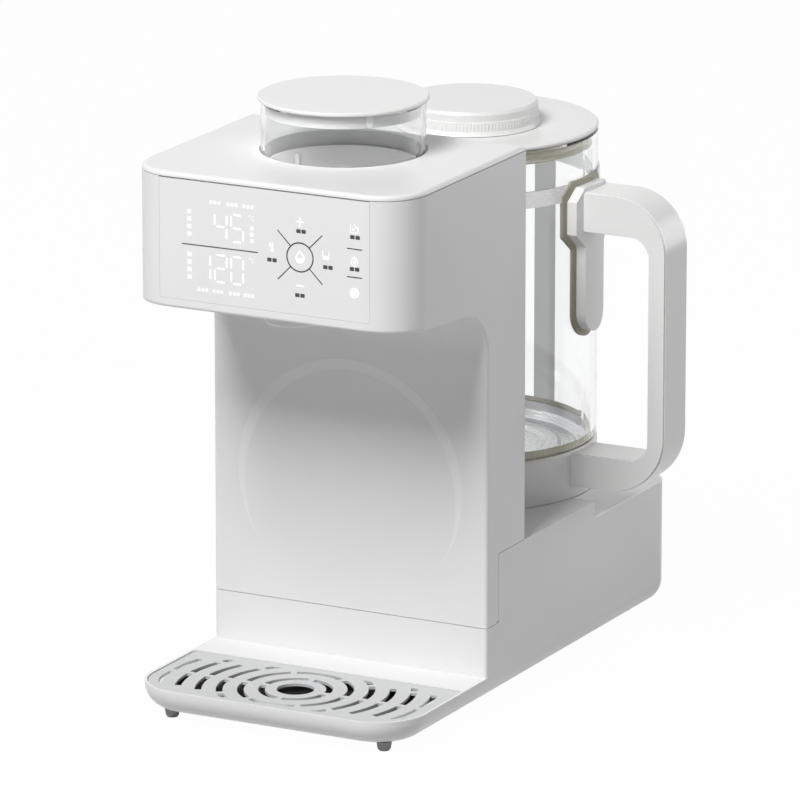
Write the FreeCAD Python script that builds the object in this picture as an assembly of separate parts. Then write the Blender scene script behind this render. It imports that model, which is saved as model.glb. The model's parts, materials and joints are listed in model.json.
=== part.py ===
import FreeCAD, Part
import math
import os

# Baby formula maker: a C shaped machine with a powder hopper in its head, a drip tray in front,
# and a glass kettle jug that stands on the deck behind the tower.
# Millimetres. X to the right, Y to the back, Z up from the floor. Until the end the model has
# x = 0 on the machine's middle plane and y = 0 on the tower's front face.

V = FreeCAD.Vector
UP = V(0, 0, 1)

# Machine outline
HALF_WIDTH = 81.65
TOWER_DEPTH = 43.6
HEAD_REACH = 94.0
PAN_REACH = 98.0
MACHINE_BACK = 223.4
FOOT_HEIGHT = 5.0
PAN_HEIGHT = 14.0
PAN_FRONT_RADIUS = 28.0
BACK_RADIUS = 14.0
PAN_EDGE_RADIUS = 13.0
PAN_CAVITY_EASE = 1.5
WALL = 2.4
SEAM_GAP = 0.35
FIT_GAP = 0.4
RUN_GAP = 0.06

# Heights above the floor
PAN_BOTTOM = FOOT_HEIGHT
SEAM_Z = PAN_BOTTOM + PAN_HEIGHT
FRONT_SEAM_Z = SEAM_Z + 27.0
DECK_Z = SEAM_Z + 65.0
LOW_DECK_Z = DECK_Z - 8.8
HEAD_SEAM_Z = SEAM_Z + 277.0
COVER_HEIGHT = 2.6
COVER_Z = HEAD_SEAM_Z + COVER_HEIGHT
HEAD_LIP_Z = SEAM_Z + 207.5

# Head and tower
HEAD_RADIUS = 25.0
THROAT_RADIUS = 26.0
HEAD_SLOPE = 5.0
HEAD_EDGE_RADIUS = 1.8
SHELL_EDGE_RADIUS = 1.8
SIDE_NOTCH_Y = 13.5
NOTCH_RADIUS = 4.0
PANEL_HALF = 61.3
PANEL_THICK = 1.6
PANEL_GAP = 0.12
PANEL_FOOT_GAP = 5.0

# Deck behind the tower
DECK_STEP_Y = 128.6
DECK_RADIUS = 1.2

# Drip tray and grill
GRILL_MARGIN = 1.3
GRILL_BACK = 25.0
GRILL_THICK = 1.5
GRILL_SINK = 0.6
WELL_MARGIN = 10.6
WELL_FLOOR = 3.0
TRAY_WALL = 1.4
DRIP_Y = -HEAD_REACH + 33.0
DRIP_HOLE_RADIUS = 10.0
SLOT_WIDTH = 3.6
SLOT_PITCH = 11.15
SLOT_FIRST_RADIUS = 17.9
SLOT_COUNTS = (4, 6, 10, 12, 16, 18, 22)
SLOT_BRIDGE = 3.4
SMALLEST_SLOT = 60.0

# Hopper in the head
CUP_RADIUS = 43.2
CUP_WALL = 1.9
CUP_TOP_Z = SEAM_Z + 306.0
HOPPER_LID_THICK = 2.2
HOPPER_LID_RADIUS = 45.0
COVER_HOLE_RADIUS = 44.2
SEAT_WALL = 1.9
SEAT_BACK_GAP = 1.1
HOPPER_Y = TOWER_DEPTH - WALL - SEAT_BACK_GAP - SEAT_WALL - COVER_HOLE_RADIUS
SEAT_FLOOR_Z = 252.0
SEAT_FLOOR_THICK = 3.0
ROTOR_THICK = 7.0
POCKETS = 6
POCKET_RADIUS = 7.0
POCKET_CIRCLE = 29.0
FUNNEL_RIM_Z = 291.0
SPINDLE_RADIUS = 4.0

# Dosing gears
GEAR_MODULE = 0.8
GEAR_TEETH = 40
PINION_TEETH = 16
GEAR_WIDTH = 5.0
GEAR_BACKLASH = 0.16
GEAR_TOP_Z = 248.5
MOTOR_RADIUS = 12.0
MOTOR_LENGTH = 26.0

# Nozzle
NOZZLE_RADIUS = 16.0
NOZZLE_BORE = 10.0
NOZZLE_FLANGE = 3.0
NOZZLE_BOTTOM_Z = 218.0
NOZZLE_TOP_Z = 236.0

# Jug
JUG_Y = 139.4
COLLAR_RADIUS = 69.5
COLLAR_HEIGHT = 26.0
COLLAR_WALL = 2.8
GLASS_RADIUS = 69.0
GLASS_WALL = 2.8
GLASS_TOP_Z = SEAM_Z + 262.0
PLATE_Z = 103.0
PLATE_THICK = 1.5
PLATE_RIM = 10.0
BAND_Z = SEAM_Z + 231.0
BAND_HEIGHT = 9.0
BAND_THICK = 1.0
COUPLER_RADIUS = 18.0
COUPLER_HEIGHT = 8.0
VALVE_RADIUS = 7.0
STEM_RADIUS = 2.2

# Jug lid and knob
LID_RADIUS = 69.2
LID_THICK = 2.5
PLUG_RADIUS = 62.5
PLUG_DEPTH = 9.0
PLUG_HOLE_RADIUS = 14.0
KNOB_RADIUS = 37.0
KNOB_TOP_Z = SEAM_Z + 277.0
KNOB_STEM_RADIUS = 8.0

# Handle
HANDLE_WIDTH = 27.0
GRIP_INNER_X = 113.3
GRIP_THICK = 10.1
ARM_TOP_Z = SEAM_Z + 235.7
ARM_TOP_THICK = 21.7
ARM_LOW_Z = SEAM_Z + 72.0
ARM_LOW_THICK = 18.4
PAD_RADIUS = 76.0
PAD_HALF = 19.0
PAD_TOP_Z = SEAM_Z + 238.0
PAD_WIDE_Z = SEAM_Z + 213.0
TONGUE_HALF = 11.0
TONGUE_END_Z = SEAM_Z + 157.0
GASKET_BORDER = 3.4
GASKET_THICK = 1.5
CORNER_TOP = 30.0
CORNER_LOW = 33.0
CORNER_INNER = 11.0
HANDLE_COVER = 1.4
HANDLE_WALL = 2.4
ARM_ROOT_X = 50.0
ARM_SPLIT_Z = ARM_LOW_Z + 60.0
PAST_GRIP_X = GRIP_INNER_X + GRIP_THICK + 60.0
PAD_CUT_X = 40.0

# Electrical inlet at the back
INLET_X = 48.0
INLET_Z = 44.0
INLET_WIDTH = 24.0
INLET_HEIGHT = 16.4
INLET_DEPTH = 17.0
INLET_RIM = 4.0

# Pump in the base
PUMP_Y = 92.0
PUMP_Z = 34.0
VOLUTE_RADIUS = 18.0
VOLUTE_WIDTH = 16.0
PUMP_MOTOR_RADIUS = 13.5
PUMP_MOTOR_LENGTH = 36.0
HOSE_RADIUS = 4.6
HOSE_BORE = 3.0
RISER_X = -40.0
RISER_Y = 22.0

# Screws, feet, cup, dosing, seat, valve and lid sizes
SCREW_HEAD = 3.2
SCREW_SHANK = 1.7
FOOT_RADIUS = 4.2
FOOT_STEM = 2.0
FOOT_STEM_RADIUS = 2.6
FOOT_INSET = 18.65
FOOT_X = HALF_WIDTH - FOOT_INSET
FOOT_FRONT_Y = -PAN_REACH + 17.0
FOOT_BACK_Y = MACHINE_BACK - 18.4
SCREW_FRONT_Y = 14.0
SCREW_BACK_Y = FOOT_BACK_Y - 20.0
SCREW_BOSS_RADIUS = 4.0
SCREW_BOSS_TOP_Z = SEAM_Z + 16.0
RIB_HALF = 1.0
RIB_LOW_Z = SEAM_Z + 4.0
SCREW_BOSS_Z = PAN_BOTTOM + WALL + 0.6
CUP_FLOOR_Z = SEAT_FLOOR_Z + SEAT_FLOOR_THICK
CUP_FLOOR_THICK = 2.0
ROTOR_Z = CUP_FLOOR_Z + CUP_FLOOR_THICK + 0.3
SOCKET_DEPTH = 4.0
DOG_ACROSS = 5.2
AXLE_RADIUS = 4.0
FUNNEL_FLOOR_Z = ROTOR_Z + ROTOR_THICK + 0.4
FUNNEL_WALL = 1.6
LID_RING_DEPTH = 7.0
BRACKET_GAP = 0.6
BRACKET_THICK = 2.4
SEAT_STUB_Z = DECK_Z - 22
WATER_SEAT_RADIUS = 10.2
COLLAR_TOP_Z = DECK_Z + COLLAR_HEIGHT
VALVE_TUBE_BOTTOM = DECK_Z - 4.5
VALVE_SEAT_Z = PLATE_Z + PLATE_THICK + 1.4
SPRING_LOW_Z = DECK_Z + 3.0
SPRING_RADIUS = 3.3
WIRE_RADIUS = 0.4
LID_Z = GLASS_TOP_Z + 0.3

ABOVE_ALL_Z = CUP_TOP_Z + 75.0

SHIFT = V(-(GRIP_INNER_X + GRIP_THICK - HALF_WIDTH) / 2, (PAN_REACH - MACHINE_BACK) / 2, 0)


def block(x0, x1, y0, y1, z0, z1):
    return Part.makeBox(x1 - x0, y1 - y0, z1 - z0, V(x0, y0, z0))


def rod(x, y, z0, z1, radius):
    return Part.makeCylinder(radius, z1 - z0, V(x, y, z0))


def ring(x, y, z0, z1, outer, inner):
    return rod(x, y, z0, z1, outer).cut(rod(x, y, z0 - 1, z1 + 1, inner))


def turned(points, x, y):
    """A solid turned about the upright axis through x, y, from (radius, height) points."""
    corners = [V(x + r, y, z) for r, z in points]
    face = Part.Face(Part.makePolygon(corners + corners[:1]))
    return face.revolve(V(x, y, 0), UP, 360)


def plan(half, front, back, front_radius, back_radius, z):
    """A face at height z with rounded corners, from y = front to y = back."""
    f, b = front_radius, back_radius
    k = math.sqrt(0.5)
    edges = [
        Part.makeLine(V(-half + f, front, z), V(half - f, front, z)),
        Part.Arc(V(half - f, front, z), V(half - f + f * k, front + f - f * k, z),
                 V(half, front + f, z)).toShape(),
        Part.makeLine(V(half, front + f, z), V(half, back - b, z)),
        Part.Arc(V(half, back - b, z), V(half - b + b * k, back - b + b * k, z),
                 V(half - b, back, z)).toShape(),
        Part.makeLine(V(half - b, back, z), V(-half + b, back, z)),
        Part.Arc(V(-half + b, back, z), V(-half + b - b * k, back - b + b * k, z),
                 V(-half, back - b, z)).toShape(),
        Part.makeLine(V(-half, back - b, z), V(-half, front + f, z)),
        Part.Arc(V(-half, front + f, z), V(-half + f - f * k, front + f - f * k, z),
                 V(-half + f, front, z)).toShape(),
    ]
    return Part.Face(Part.Wire(edges))


def slab(half, front, back, front_radius, back_radius, z0, z1):
    return plan(half, front, back, front_radius, back_radius, z0).extrude(V(0, 0, z1 - z0))


def rounded(shape, radius, wanted):
    """Fillets the edges whose middle point passes the test."""
    edges = []
    for edge in shape.Edges:
        middle = edge.valueAt((edge.FirstParameter + edge.LastParameter) / 2)
        if wanted(middle):
            edges.append(edge)
    return shape.makeFillet(radius, edges)


def near(a, b):
    return abs(a - b) < 0.02


def corner(before, point, after, radius):
    """The two tangent points and the middle of the arc that rounds a corner of a route."""
    a = (before - point).normalize()
    b = (after - point).normalize()
    half_angle = a.getAngle(b) / 2
    run = radius / math.tan(half_angle)
    middle_way = (a + b).normalize()
    centre = point + middle_way * (radius / math.sin(half_angle))
    return point + a * run, centre - middle_way * radius, point + b * run


def route(points, radius):
    """Straight runs joined by tangent arcs."""
    edges = []
    start = points[0]
    for before, point, after in zip(points, points[1:], points[2:]):
        first, middle, last = corner(before, point, after, radius)
        edges.append(Part.makeLine(start, first))
        edges.append(Part.Arc(first, middle, last).toShape())
        start = last
    edges.append(Part.makeLine(start, points[-1]))
    return Part.Wire(edges)


def hose(points, bend, radius, bore):
    way = route(points, bend)
    tangent = points[1] - points[0]
    solids = []
    for r in (radius, bore):
        section = Part.Wire(Part.makeCircle(r, points[0], tangent))
        solids.append(way.makePipeShell([section], True, False))
    return solids[0].cut(solids[1])


# Base


def base_pan():
    body = slab(HALF_WIDTH, -PAN_REACH, MACHINE_BACK, PAN_FRONT_RADIUS, BACK_RADIUS,
                PAN_BOTTOM, SEAM_Z)
    body = rounded(body, PAN_EDGE_RADIUS, lambda m: near(m.z, PAN_BOTTOM))
    cavity_front = -GRILL_BACK + WALL
    cavity = slab(HALF_WIDTH - WALL, cavity_front, MACHINE_BACK - WALL, 4, BACK_RADIUS - WALL,
                  PAN_BOTTOM + WALL, SEAM_Z - WALL)
    cavity = rounded(cavity, PAN_EDGE_RADIUS - WALL - PAN_CAVITY_EASE,
                     lambda m: near(m.z, PAN_BOTTOM + WALL) and m.y > 0)
    body = body.cut(cavity)
    body = body.cut(slab(HALF_WIDTH - WALL, WALL, MACHINE_BACK - WALL, 1, BACK_RADIUS - WALL,
                         SEAM_Z - WALL - 1, SEAM_Z + 1))
    body = body.cut(grill_outline(0, SEAM_Z - GRILL_SINK - GRILL_THICK, SEAM_Z + 1))
    body = body.cut(well(0, PAN_BOTTOM + WELL_FLOOR))
    for x, y in screw_spots():
        body = body.cut(rod(x, y, PAN_BOTTOM - 1, PAN_BOTTOM + 1.2, SCREW_HEAD + 0.5))
        body = body.cut(rod(x, y, PAN_BOTTOM - 1, PAN_BOTTOM + 4, SCREW_SHANK))
    for x, y in foot_spots():
        body = body.cut(rod(x, y, PAN_BOTTOM - 1, PAN_BOTTOM + FOOT_STEM, FOOT_STEM_RADIUS))
    return body


def foot_spots():
    return [(side * FOOT_X, y) for side in (-1, 1) for y in (FOOT_FRONT_Y, FOOT_BACK_Y)]


def screw_spots():
    return [(side * (FOOT_X - 4), y) for side in (-1, 1) for y in (SCREW_FRONT_Y, SCREW_BACK_Y)]


def grill_outline(gap, z0, z1):
    """The recess that the grill lies in, taken in by a gap for the grill itself."""
    inset = GRILL_MARGIN + gap
    return slab(HALF_WIDTH - inset, -PAN_REACH + inset, -GRILL_BACK - gap,
                PAN_FRONT_RADIUS - inset, 3.0, z0, z1)


def well(gap, z0):
    """The pocket under the grill."""
    inset = WELL_MARGIN + gap
    pocket = slab(HALF_WIDTH - inset, -PAN_REACH + inset, -GRILL_BACK - 5 - gap,
                  PAN_FRONT_RADIUS - inset, 5.0, z0, SEAM_Z)
    return rounded(pocket, 4.0 - min(gap, 1.5), lambda m: near(m.z, z0))


def feet():
    shapes = []
    for x, y in foot_spots():
        foot = turned([(0, 0), (FOOT_RADIUS - 1.4, 0), (FOOT_RADIUS - 0.7, 1), (FOOT_RADIUS, PAN_BOTTOM),
                       (FOOT_STEM_RADIUS, PAN_BOTTOM), (FOOT_STEM_RADIUS, PAN_BOTTOM + FOOT_STEM),
                       (0, PAN_BOTTOM + FOOT_STEM)], x, y)
        shapes.append(foot)
    return Part.makeCompound(shapes)


def base_screws():
    shapes = []
    for x, y in screw_spots():
        head = rod(x, y, PAN_BOTTOM + 0.2, PAN_BOTTOM + 1.2, SCREW_HEAD)
        shank = rod(x, y, PAN_BOTTOM + 1.2, SCREW_BOSS_Z + 8, SCREW_SHANK)
        slot = block(x - SCREW_HEAD, x + SCREW_HEAD, y - 0.4, y + 0.4, PAN_BOTTOM, PAN_BOTTOM + 0.7)
        shapes.append(head.fuse(shank).removeSplitter().cut(slot))
    return Part.makeCompound(shapes)


def drip_tray():
    floor_z = PAN_BOTTOM + WELL_FLOOR + 0.2
    top_z = SEAM_Z - GRILL_SINK - GRILL_THICK - 0.3
    body = well(FIT_GAP, floor_z)
    body = body.cut(block(-HALF_WIDTH, HALF_WIDTH, -PAN_REACH, 0, top_z, SEAM_Z + 1))
    return body.cut(well(FIT_GAP + TRAY_WALL, floor_z + TRAY_WALL))


def slot_arc(radius, start, end):
    """A slot along part of a circle about the drip hole, with flat ends. Angles in degrees."""
    low, high = SEAM_Z - GRILL_SINK - GRILL_THICK - 1, SEAM_Z + 1
    inner, outer = radius - SLOT_WIDTH / 2, radius + SLOT_WIDTH / 2

    def at(r, angle):
        a = math.radians(angle)
        return V(r * math.cos(a), DRIP_Y + r * math.sin(a), low)

    middle = (start + end) / 2
    edges = [
        Part.Arc(at(outer, start), at(outer, middle), at(outer, end)).toShape(),
        Part.makeLine(at(outer, end), at(inner, end)),
        Part.Arc(at(inner, end), at(inner, middle), at(inner, start)).toShape(),
        Part.makeLine(at(inner, start), at(outer, start)),
    ]
    return Part.Face(Part.Wire(edges)).extrude(V(0, 0, high - low))


def drip_grill():
    top = SEAM_Z - GRILL_SINK
    plate = grill_outline(FIT_GAP, top - GRILL_THICK, top)
    allowed = grill_outline(FIT_GAP + 5.5, top - GRILL_THICK - 1, top + 1)
    cuts = [rod(0, DRIP_Y, top - GRILL_THICK - 1, top + 1, DRIP_HOLE_RADIUS)]
    for index, count in enumerate(SLOT_COUNTS):
        radius = SLOT_FIRST_RADIUS + index * SLOT_PITCH
        step = 360 / count
        bridge = math.degrees(SLOT_BRIDGE / radius) / 2
        for turn in range(count):
            start = turn * step + bridge
            piece = slot_arc(radius, start, start + step - 2 * bridge).common(allowed)
            cuts += [solid for solid in piece.Solids if solid.Volume > SMALLEST_SLOT]
    return plate.cut(Part.makeCompound(cuts))


# Lower housing behind and under the tower


def lower_housing():
    body = slab(HALF_WIDTH, 0, MACHINE_BACK, SHELL_EDGE_RADIUS, BACK_RADIUS, SEAM_Z, DECK_Z)
    low = block(-HALF_WIDTH - 1, HALF_WIDTH + 1, DECK_STEP_Y, MACHINE_BACK + 1, LOW_DECK_Z, DECK_Z + 1)
    low = low.cut(rod(0, JUG_Y, LOW_DECK_Z - 1, DECK_Z + 2, COLLAR_RADIUS + 0.6))
    body = body.cut(low)
    body = rounded(body, DECK_RADIUS, lambda m: near(m.z, LOW_DECK_Z) and m.y > JUG_Y
                   and math.hypot(m.x, m.y - JUG_Y) > COLLAR_RADIUS + 2)
    body = body.cut(side_notch(0))
    inner = slab(HALF_WIDTH - WALL, WALL, MACHINE_BACK - WALL, 1, BACK_RADIUS - WALL,
                 SEAM_Z - 1, LOW_DECK_Z - WALL)
    body = body.cut(inner)
    body = body.cut(block(-HALF_WIDTH + WALL, HALF_WIDTH - WALL, WALL, DECK_STEP_Y - WALL,
                          SEAM_Z, DECK_Z - WALL))
    body = body.cut(block(-HALF_WIDTH + WALL, HALF_WIDTH - WALL, WALL, TOWER_DEPTH - WALL,
                          SEAM_Z, DECK_Z + 1))
    body = body.cut(rod(0, JUG_Y, SEAM_Z, DECK_Z - WALL, COLLAR_RADIUS - WALL))
    body = body.cut(rod(0, JUG_Y, DECK_Z - WALL - 1, DECK_Z + 1, COUPLER_RADIUS + 0.2))
    inlet = inlet_block(0.2, MACHINE_BACK - WALL - 1, MACHINE_BACK + 1)
    body = body.cut(inlet)
    for x, y in screw_spots():
        boss = rod(x, y, SCREW_BOSS_Z, SCREW_BOSS_TOP_Z, SCREW_BOSS_RADIUS)
        wall_x = math.copysign(HALF_WIDTH - WALL + 0.5, x)
        reach = block(min(x, wall_x), max(x, wall_x), y - RIB_HALF, y + RIB_HALF, RIB_LOW_Z, SCREW_BOSS_TOP_Z)
        boss = boss.fuse(reach).cut(rod(x, y, SCREW_BOSS_Z - 1, SCREW_BOSS_TOP_Z + 1, SCREW_SHANK))
        body = body.fuse(boss)
    return body.removeSplitter()


def side_notch(gap):
    """The room that the tower shell's lower front takes out of the housing."""
    notch = block(-HALF_WIDTH - 1, HALF_WIDTH + 1, -1, SIDE_NOTCH_Y + gap,
                  FRONT_SEAM_Z - gap, DECK_Z + 1)
    return rounded(notch, NOTCH_RADIUS, lambda m: near(m.y, SIDE_NOTCH_Y + gap)
                   and near(m.z, FRONT_SEAM_Z - gap))


# Tower and head


def side_profile(inset, top, back):
    """The C shape seen from the side, taken in all round by a wall, at x = 0."""
    slope = math.radians(HEAD_SLOPE)
    face_y = inset
    front_y = -HEAD_REACH + inset
    # The underside runs up from the lip at the front to the throat arc at the tower.
    radius = THROAT_RADIUS + inset
    lip_z = HEAD_LIP_Z + inset / math.cos(slope)

    def under(y):
        return lip_z - (y - front_y + inset) * math.tan(slope)

    centre_y = face_y - radius
    tangent_y = centre_y + radius * math.sin(slope)
    tangent_z = under(tangent_y)
    centre_z = tangent_z - radius * math.cos(slope)
    half_turn = math.radians(45) - slope / 2
    middle = V(0, centre_y + radius * math.cos(half_turn), centre_z + radius * math.sin(half_turn))
    points = [V(0, face_y, PAN_BOTTOM), V(0, face_y, centre_z), V(0, tangent_y, tangent_z),
              V(0, front_y, under(front_y)), V(0, front_y, top), V(0, back, top),
              V(0, back, PAN_BOTTOM)]
    edges = [Part.makeLine(points[0], points[1]), Part.Arc(points[1], middle, points[2]).toShape()]
    for a, b in zip(points[2:], points[3:]):
        edges.append(Part.makeLine(a, b))
    edges.append(Part.makeLine(points[-1], points[0]))
    return Part.Face(Part.Wire(edges))


def c_solid(inset, top, back, edge_radius):
    """The C shape as wide as the machine, less the inset, with the head's front corners round."""
    half = HALF_WIDTH - inset
    face = side_profile(inset, top, back)
    face.translate(V(-half, 0, 0))
    body = face.extrude(V(2 * half, 0, 0))
    front_y = -HEAD_REACH + inset
    body = rounded(body, HEAD_RADIUS - inset, lambda m: near(m.y, front_y) and near(abs(m.x), half))
    if edge_radius > 0:
        body = rounded(body, edge_radius, lambda m: m.z < HEAD_LIP_Z + 8 and (
            m.y < -HEAD_REACH + HEAD_RADIUS - 1 or (near(abs(m.x), half) and m.y < 1)))
    return body


def tower_shell():
    body = c_solid(0, HEAD_SEAM_Z - SEAM_GAP, TOWER_DEPTH, HEAD_EDGE_RADIUS)
    body = body.cut(c_solid(WALL, COVER_Z + 5, TOWER_DEPTH + 5, 0))
    body = body.cut(block(-HALF_WIDTH - 1, HALF_WIDTH + 1, -1, SIDE_NOTCH_Y + 1, 0,
                          FRONT_SEAM_Z + SEAM_GAP))
    rear = block(-HALF_WIDTH - 1, HALF_WIDTH + 1, SIDE_NOTCH_Y - SEAM_GAP, TOWER_DEPTH + 1, 0,
                 DECK_Z + SEAM_GAP)
    rear = rear.fuse(block(-HALF_WIDTH - 1, HALF_WIDTH + 1, -1, TOWER_DEPTH + 1, 0, FRONT_SEAM_Z))
    body = body.cut(rear)
    body = body.cut(panel_solid(PANEL_GAP, 0))
    return body.cut(rod(0, DRIP_Y, NOZZLE_BOTTOM_Z - 5, NOZZLE_TOP_Z, NOZZLE_RADIUS + 0.2))


def panel_solid(gap, skin):
    """The touch panel's shape on the head's front, grown by a gap, with the skin it keeps."""
    outer = c_solid(0, HEAD_SEAM_Z - SEAM_GAP, TOWER_DEPTH, HEAD_EDGE_RADIUS)
    half = PANEL_HALF + gap
    depth = PANEL_THICK + gap
    bottom = HEAD_LIP_Z + PANEL_FOOT_GAP - gap
    zone = block(-half, half, -HEAD_REACH - 1, -HEAD_REACH + depth + 0.5, bottom,
                 HEAD_SEAM_Z - SEAM_GAP + (1 if gap > 0 else 0) - skin)
    shape = outer.common(zone)
    if gap > 0:
        shape = shape.fuse(block(-half, half, -HEAD_REACH - 1, -HEAD_REACH + depth, bottom,
                                 HEAD_SEAM_Z + 1))
    return shape


def control_panel():
    return panel_solid(0, 0.4)


def back_cover():
    """Closes the tower's back between the deck and the top cover."""
    half = HALF_WIDTH - WALL - 0.15
    plate = block(-half, half, TOWER_DEPTH - WALL, TOWER_DEPTH, DECK_Z + SEAM_GAP,
                  HEAD_SEAM_Z - SEAM_GAP)
    for z in (DECK_Z + 20, HEAD_SEAM_Z - 20):
        for side in (-1, 1):
            plate = plate.cut(Part.makeCylinder(SCREW_HEAD + 0.3, 1.6,
                                                V(side * (half - 8), TOWER_DEPTH - 1.4, z), V(0, 1, 0)))
    return plate


def back_screws():
    half = HALF_WIDTH - WALL - 0.15
    shapes = []
    for z in (DECK_Z + 20, HEAD_SEAM_Z - 20):
        for side in (-1, 1):
            head = Part.makeCylinder(SCREW_HEAD, 1.2, V(side * (half - 8), TOWER_DEPTH - 1.4, z),
                                     V(0, 1, 0))
            recess = Part.makeCylinder(1.2, 1.0, V(side * (half - 8), TOWER_DEPTH - 0.9, z), V(0, 1, 0))
            shapes.append(head.cut(recess))
    return Part.makeCompound(shapes)


def top_cover():
    body = slab(HALF_WIDTH, -HEAD_REACH, TOWER_DEPTH, HEAD_RADIUS, SHELL_EDGE_RADIUS,
                HEAD_SEAM_Z, COVER_Z)
    body = rounded(body, COVER_HEIGHT - 0.5, lambda m: near(m.z, COVER_Z))
    inner = WALL + 0.3
    skirt = slab(HALF_WIDTH - inner, -HEAD_REACH + inner, TOWER_DEPTH - inner, HEAD_RADIUS - inner, 1.5,
                 HEAD_SEAM_Z - 7, HEAD_SEAM_Z)
    inside = inner + 1.6
    skirt = skirt.cut(slab(HALF_WIDTH - inside, -HEAD_REACH + inside, TOWER_DEPTH - inside,
                           HEAD_RADIUS - inside, 1.0, HEAD_SEAM_Z - 8, HEAD_SEAM_Z + 1))
    skirt = skirt.cut(rod(0, HOPPER_Y, HEAD_SEAM_Z - 9, HEAD_SEAM_Z, COVER_HOLE_RADIUS + SEAT_WALL + 0.4))
    body = body.fuse(skirt)
    hole = rod(0, HOPPER_Y, HEAD_SEAM_Z - 10, COVER_Z + 1, COVER_HOLE_RADIUS)
    return body.cut(hole).removeSplitter()


# Hopper, dosing wheel and gears


def hopper_seat():
    outer = COVER_HOLE_RADIUS + SEAT_WALL
    body = ring(0, HOPPER_Y, SEAT_FLOOR_Z, HEAD_SEAM_Z, outer, COVER_HOLE_RADIUS)
    floor = rod(0, HOPPER_Y, SEAT_FLOOR_Z, SEAT_FLOOR_Z + SEAT_FLOOR_THICK, outer)
    body = body.fuse(floor).removeSplitter()
    body = body.cut(rod(0, HOPPER_Y, SEAT_FLOOR_Z - 1, SEAT_FLOOR_Z + SEAT_FLOOR_THICK + 1,
                        SPINDLE_RADIUS + RUN_GAP))
    return body.cut(rod(0, outlet_y(), SEAT_FLOOR_Z - 1, SEAT_FLOOR_Z + SEAT_FLOOR_THICK + 1,
                        POCKET_RADIUS + 0.6))


def outlet_y():
    return HOPPER_Y - POCKET_CIRCLE


def hopper_cup():
    body = turned([(0, CUP_FLOOR_Z), (CUP_RADIUS - 1.5, CUP_FLOOR_Z), (CUP_RADIUS, CUP_FLOOR_Z + 1.5),
                   (CUP_RADIUS, CUP_TOP_Z - 0.6), (CUP_RADIUS - 0.6, CUP_TOP_Z),
                   (CUP_RADIUS - CUP_WALL, CUP_TOP_Z), (CUP_RADIUS - CUP_WALL, CUP_FLOOR_Z + CUP_FLOOR_THICK),
                   (0, CUP_FLOOR_Z + CUP_FLOOR_THICK)], 0, HOPPER_Y)
    body = body.cut(rod(0, HOPPER_Y, CUP_FLOOR_Z - 1, ROTOR_Z, SPINDLE_RADIUS + 0.6))
    return body.cut(rod(0, outlet_y(), CUP_FLOOR_Z - 1, ROTOR_Z, POCKET_RADIUS))


def dosing_rotor():
    radius = CUP_RADIUS - CUP_WALL - 0.5
    body = rod(0, HOPPER_Y, ROTOR_Z, ROTOR_Z + ROTOR_THICK, radius)
    for index in range(POCKETS):
        angle = math.radians(90 + index * 360 / POCKETS)
        body = body.cut(rod(POCKET_CIRCLE * math.cos(angle), HOPPER_Y + POCKET_CIRCLE * math.sin(angle),
                            ROTOR_Z - 1, ROTOR_Z + ROTOR_THICK + 1, POCKET_RADIUS))
    socket = dog(DOG_ACROSS / 2 + 0.2, ROTOR_Z - 1, ROTOR_Z + SOCKET_DEPTH)
    body = body.cut(socket)
    axle = rod(0, HOPPER_Y, ROTOR_Z + ROTOR_THICK, FUNNEL_FLOOR_Z + 8, AXLE_RADIUS)
    return body.fuse(axle).removeSplitter()


def dog(half, z0, z1):
    """A square drive about the hopper's axis."""
    return block(-half, half, HOPPER_Y - half, HOPPER_Y + half, z0, z1)


def hopper_funnel():
    """The cone that leads the powder down to the dosing wheel."""
    top_radius = CUP_RADIUS - CUP_WALL - 0.1
    low_radius = top_radius - 14.0
    body = turned([(AXLE_RADIUS + 0.4, FUNNEL_FLOOR_Z), (top_radius, FUNNEL_FLOOR_Z),
                   (top_radius, FUNNEL_RIM_Z), (top_radius - FUNNEL_WALL, FUNNEL_RIM_Z),
                   (low_radius, FUNNEL_FLOOR_Z + FUNNEL_WALL),
                   (AXLE_RADIUS + 0.4, FUNNEL_FLOOR_Z + FUNNEL_WALL)], 0, HOPPER_Y)
    hollow = turned([(low_radius + 3, FUNNEL_FLOOR_Z - 1), (top_radius - FUNNEL_WALL, FUNNEL_FLOOR_Z - 1),
                     (top_radius - FUNNEL_WALL, FUNNEL_RIM_Z - 4)], 0, HOPPER_Y)
    body = body.cut(hollow)
    return body.cut(rod(0, HOPPER_Y + POCKET_CIRCLE - 8, FUNNEL_FLOOR_Z - 1, FUNNEL_FLOOR_Z + 12,
                        POCKET_RADIUS + 1))


def agitator():
    """The stirring arm on the dosing wheel's axle, with its domed nub."""
    z = FUNNEL_FLOOR_Z + 8
    hub = turned([(0, z), (6.5, z), (7.5, z + 4), (7.0, z + 12), (4.5, z + 16.5), (0, z + 18)], 0, HOPPER_Y)
    blade = block(-27, 27, HOPPER_Y - 1.2, HOPPER_Y + 1.2, z + 1.5, z + 7)
    tips = [block(side * 27 - 1.2, side * 27 + 1.2, HOPPER_Y - 1.2, HOPPER_Y + 1.2, z + 1.5, z + 20)
            for side in (-1, 1)]
    return hub.fuse([blade] + tips).removeSplitter()


def hopper_lid():
    z = CUP_TOP_Z + 0.3
    return turned([(0, z), (HOPPER_LID_RADIUS - 0.6, z), (HOPPER_LID_RADIUS, z + 0.6),
                   (HOPPER_LID_RADIUS, z + HOPPER_LID_THICK - 0.8),
                   (HOPPER_LID_RADIUS - 0.8, z + HOPPER_LID_THICK), (0, z + HOPPER_LID_THICK)], 0, HOPPER_Y)


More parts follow.
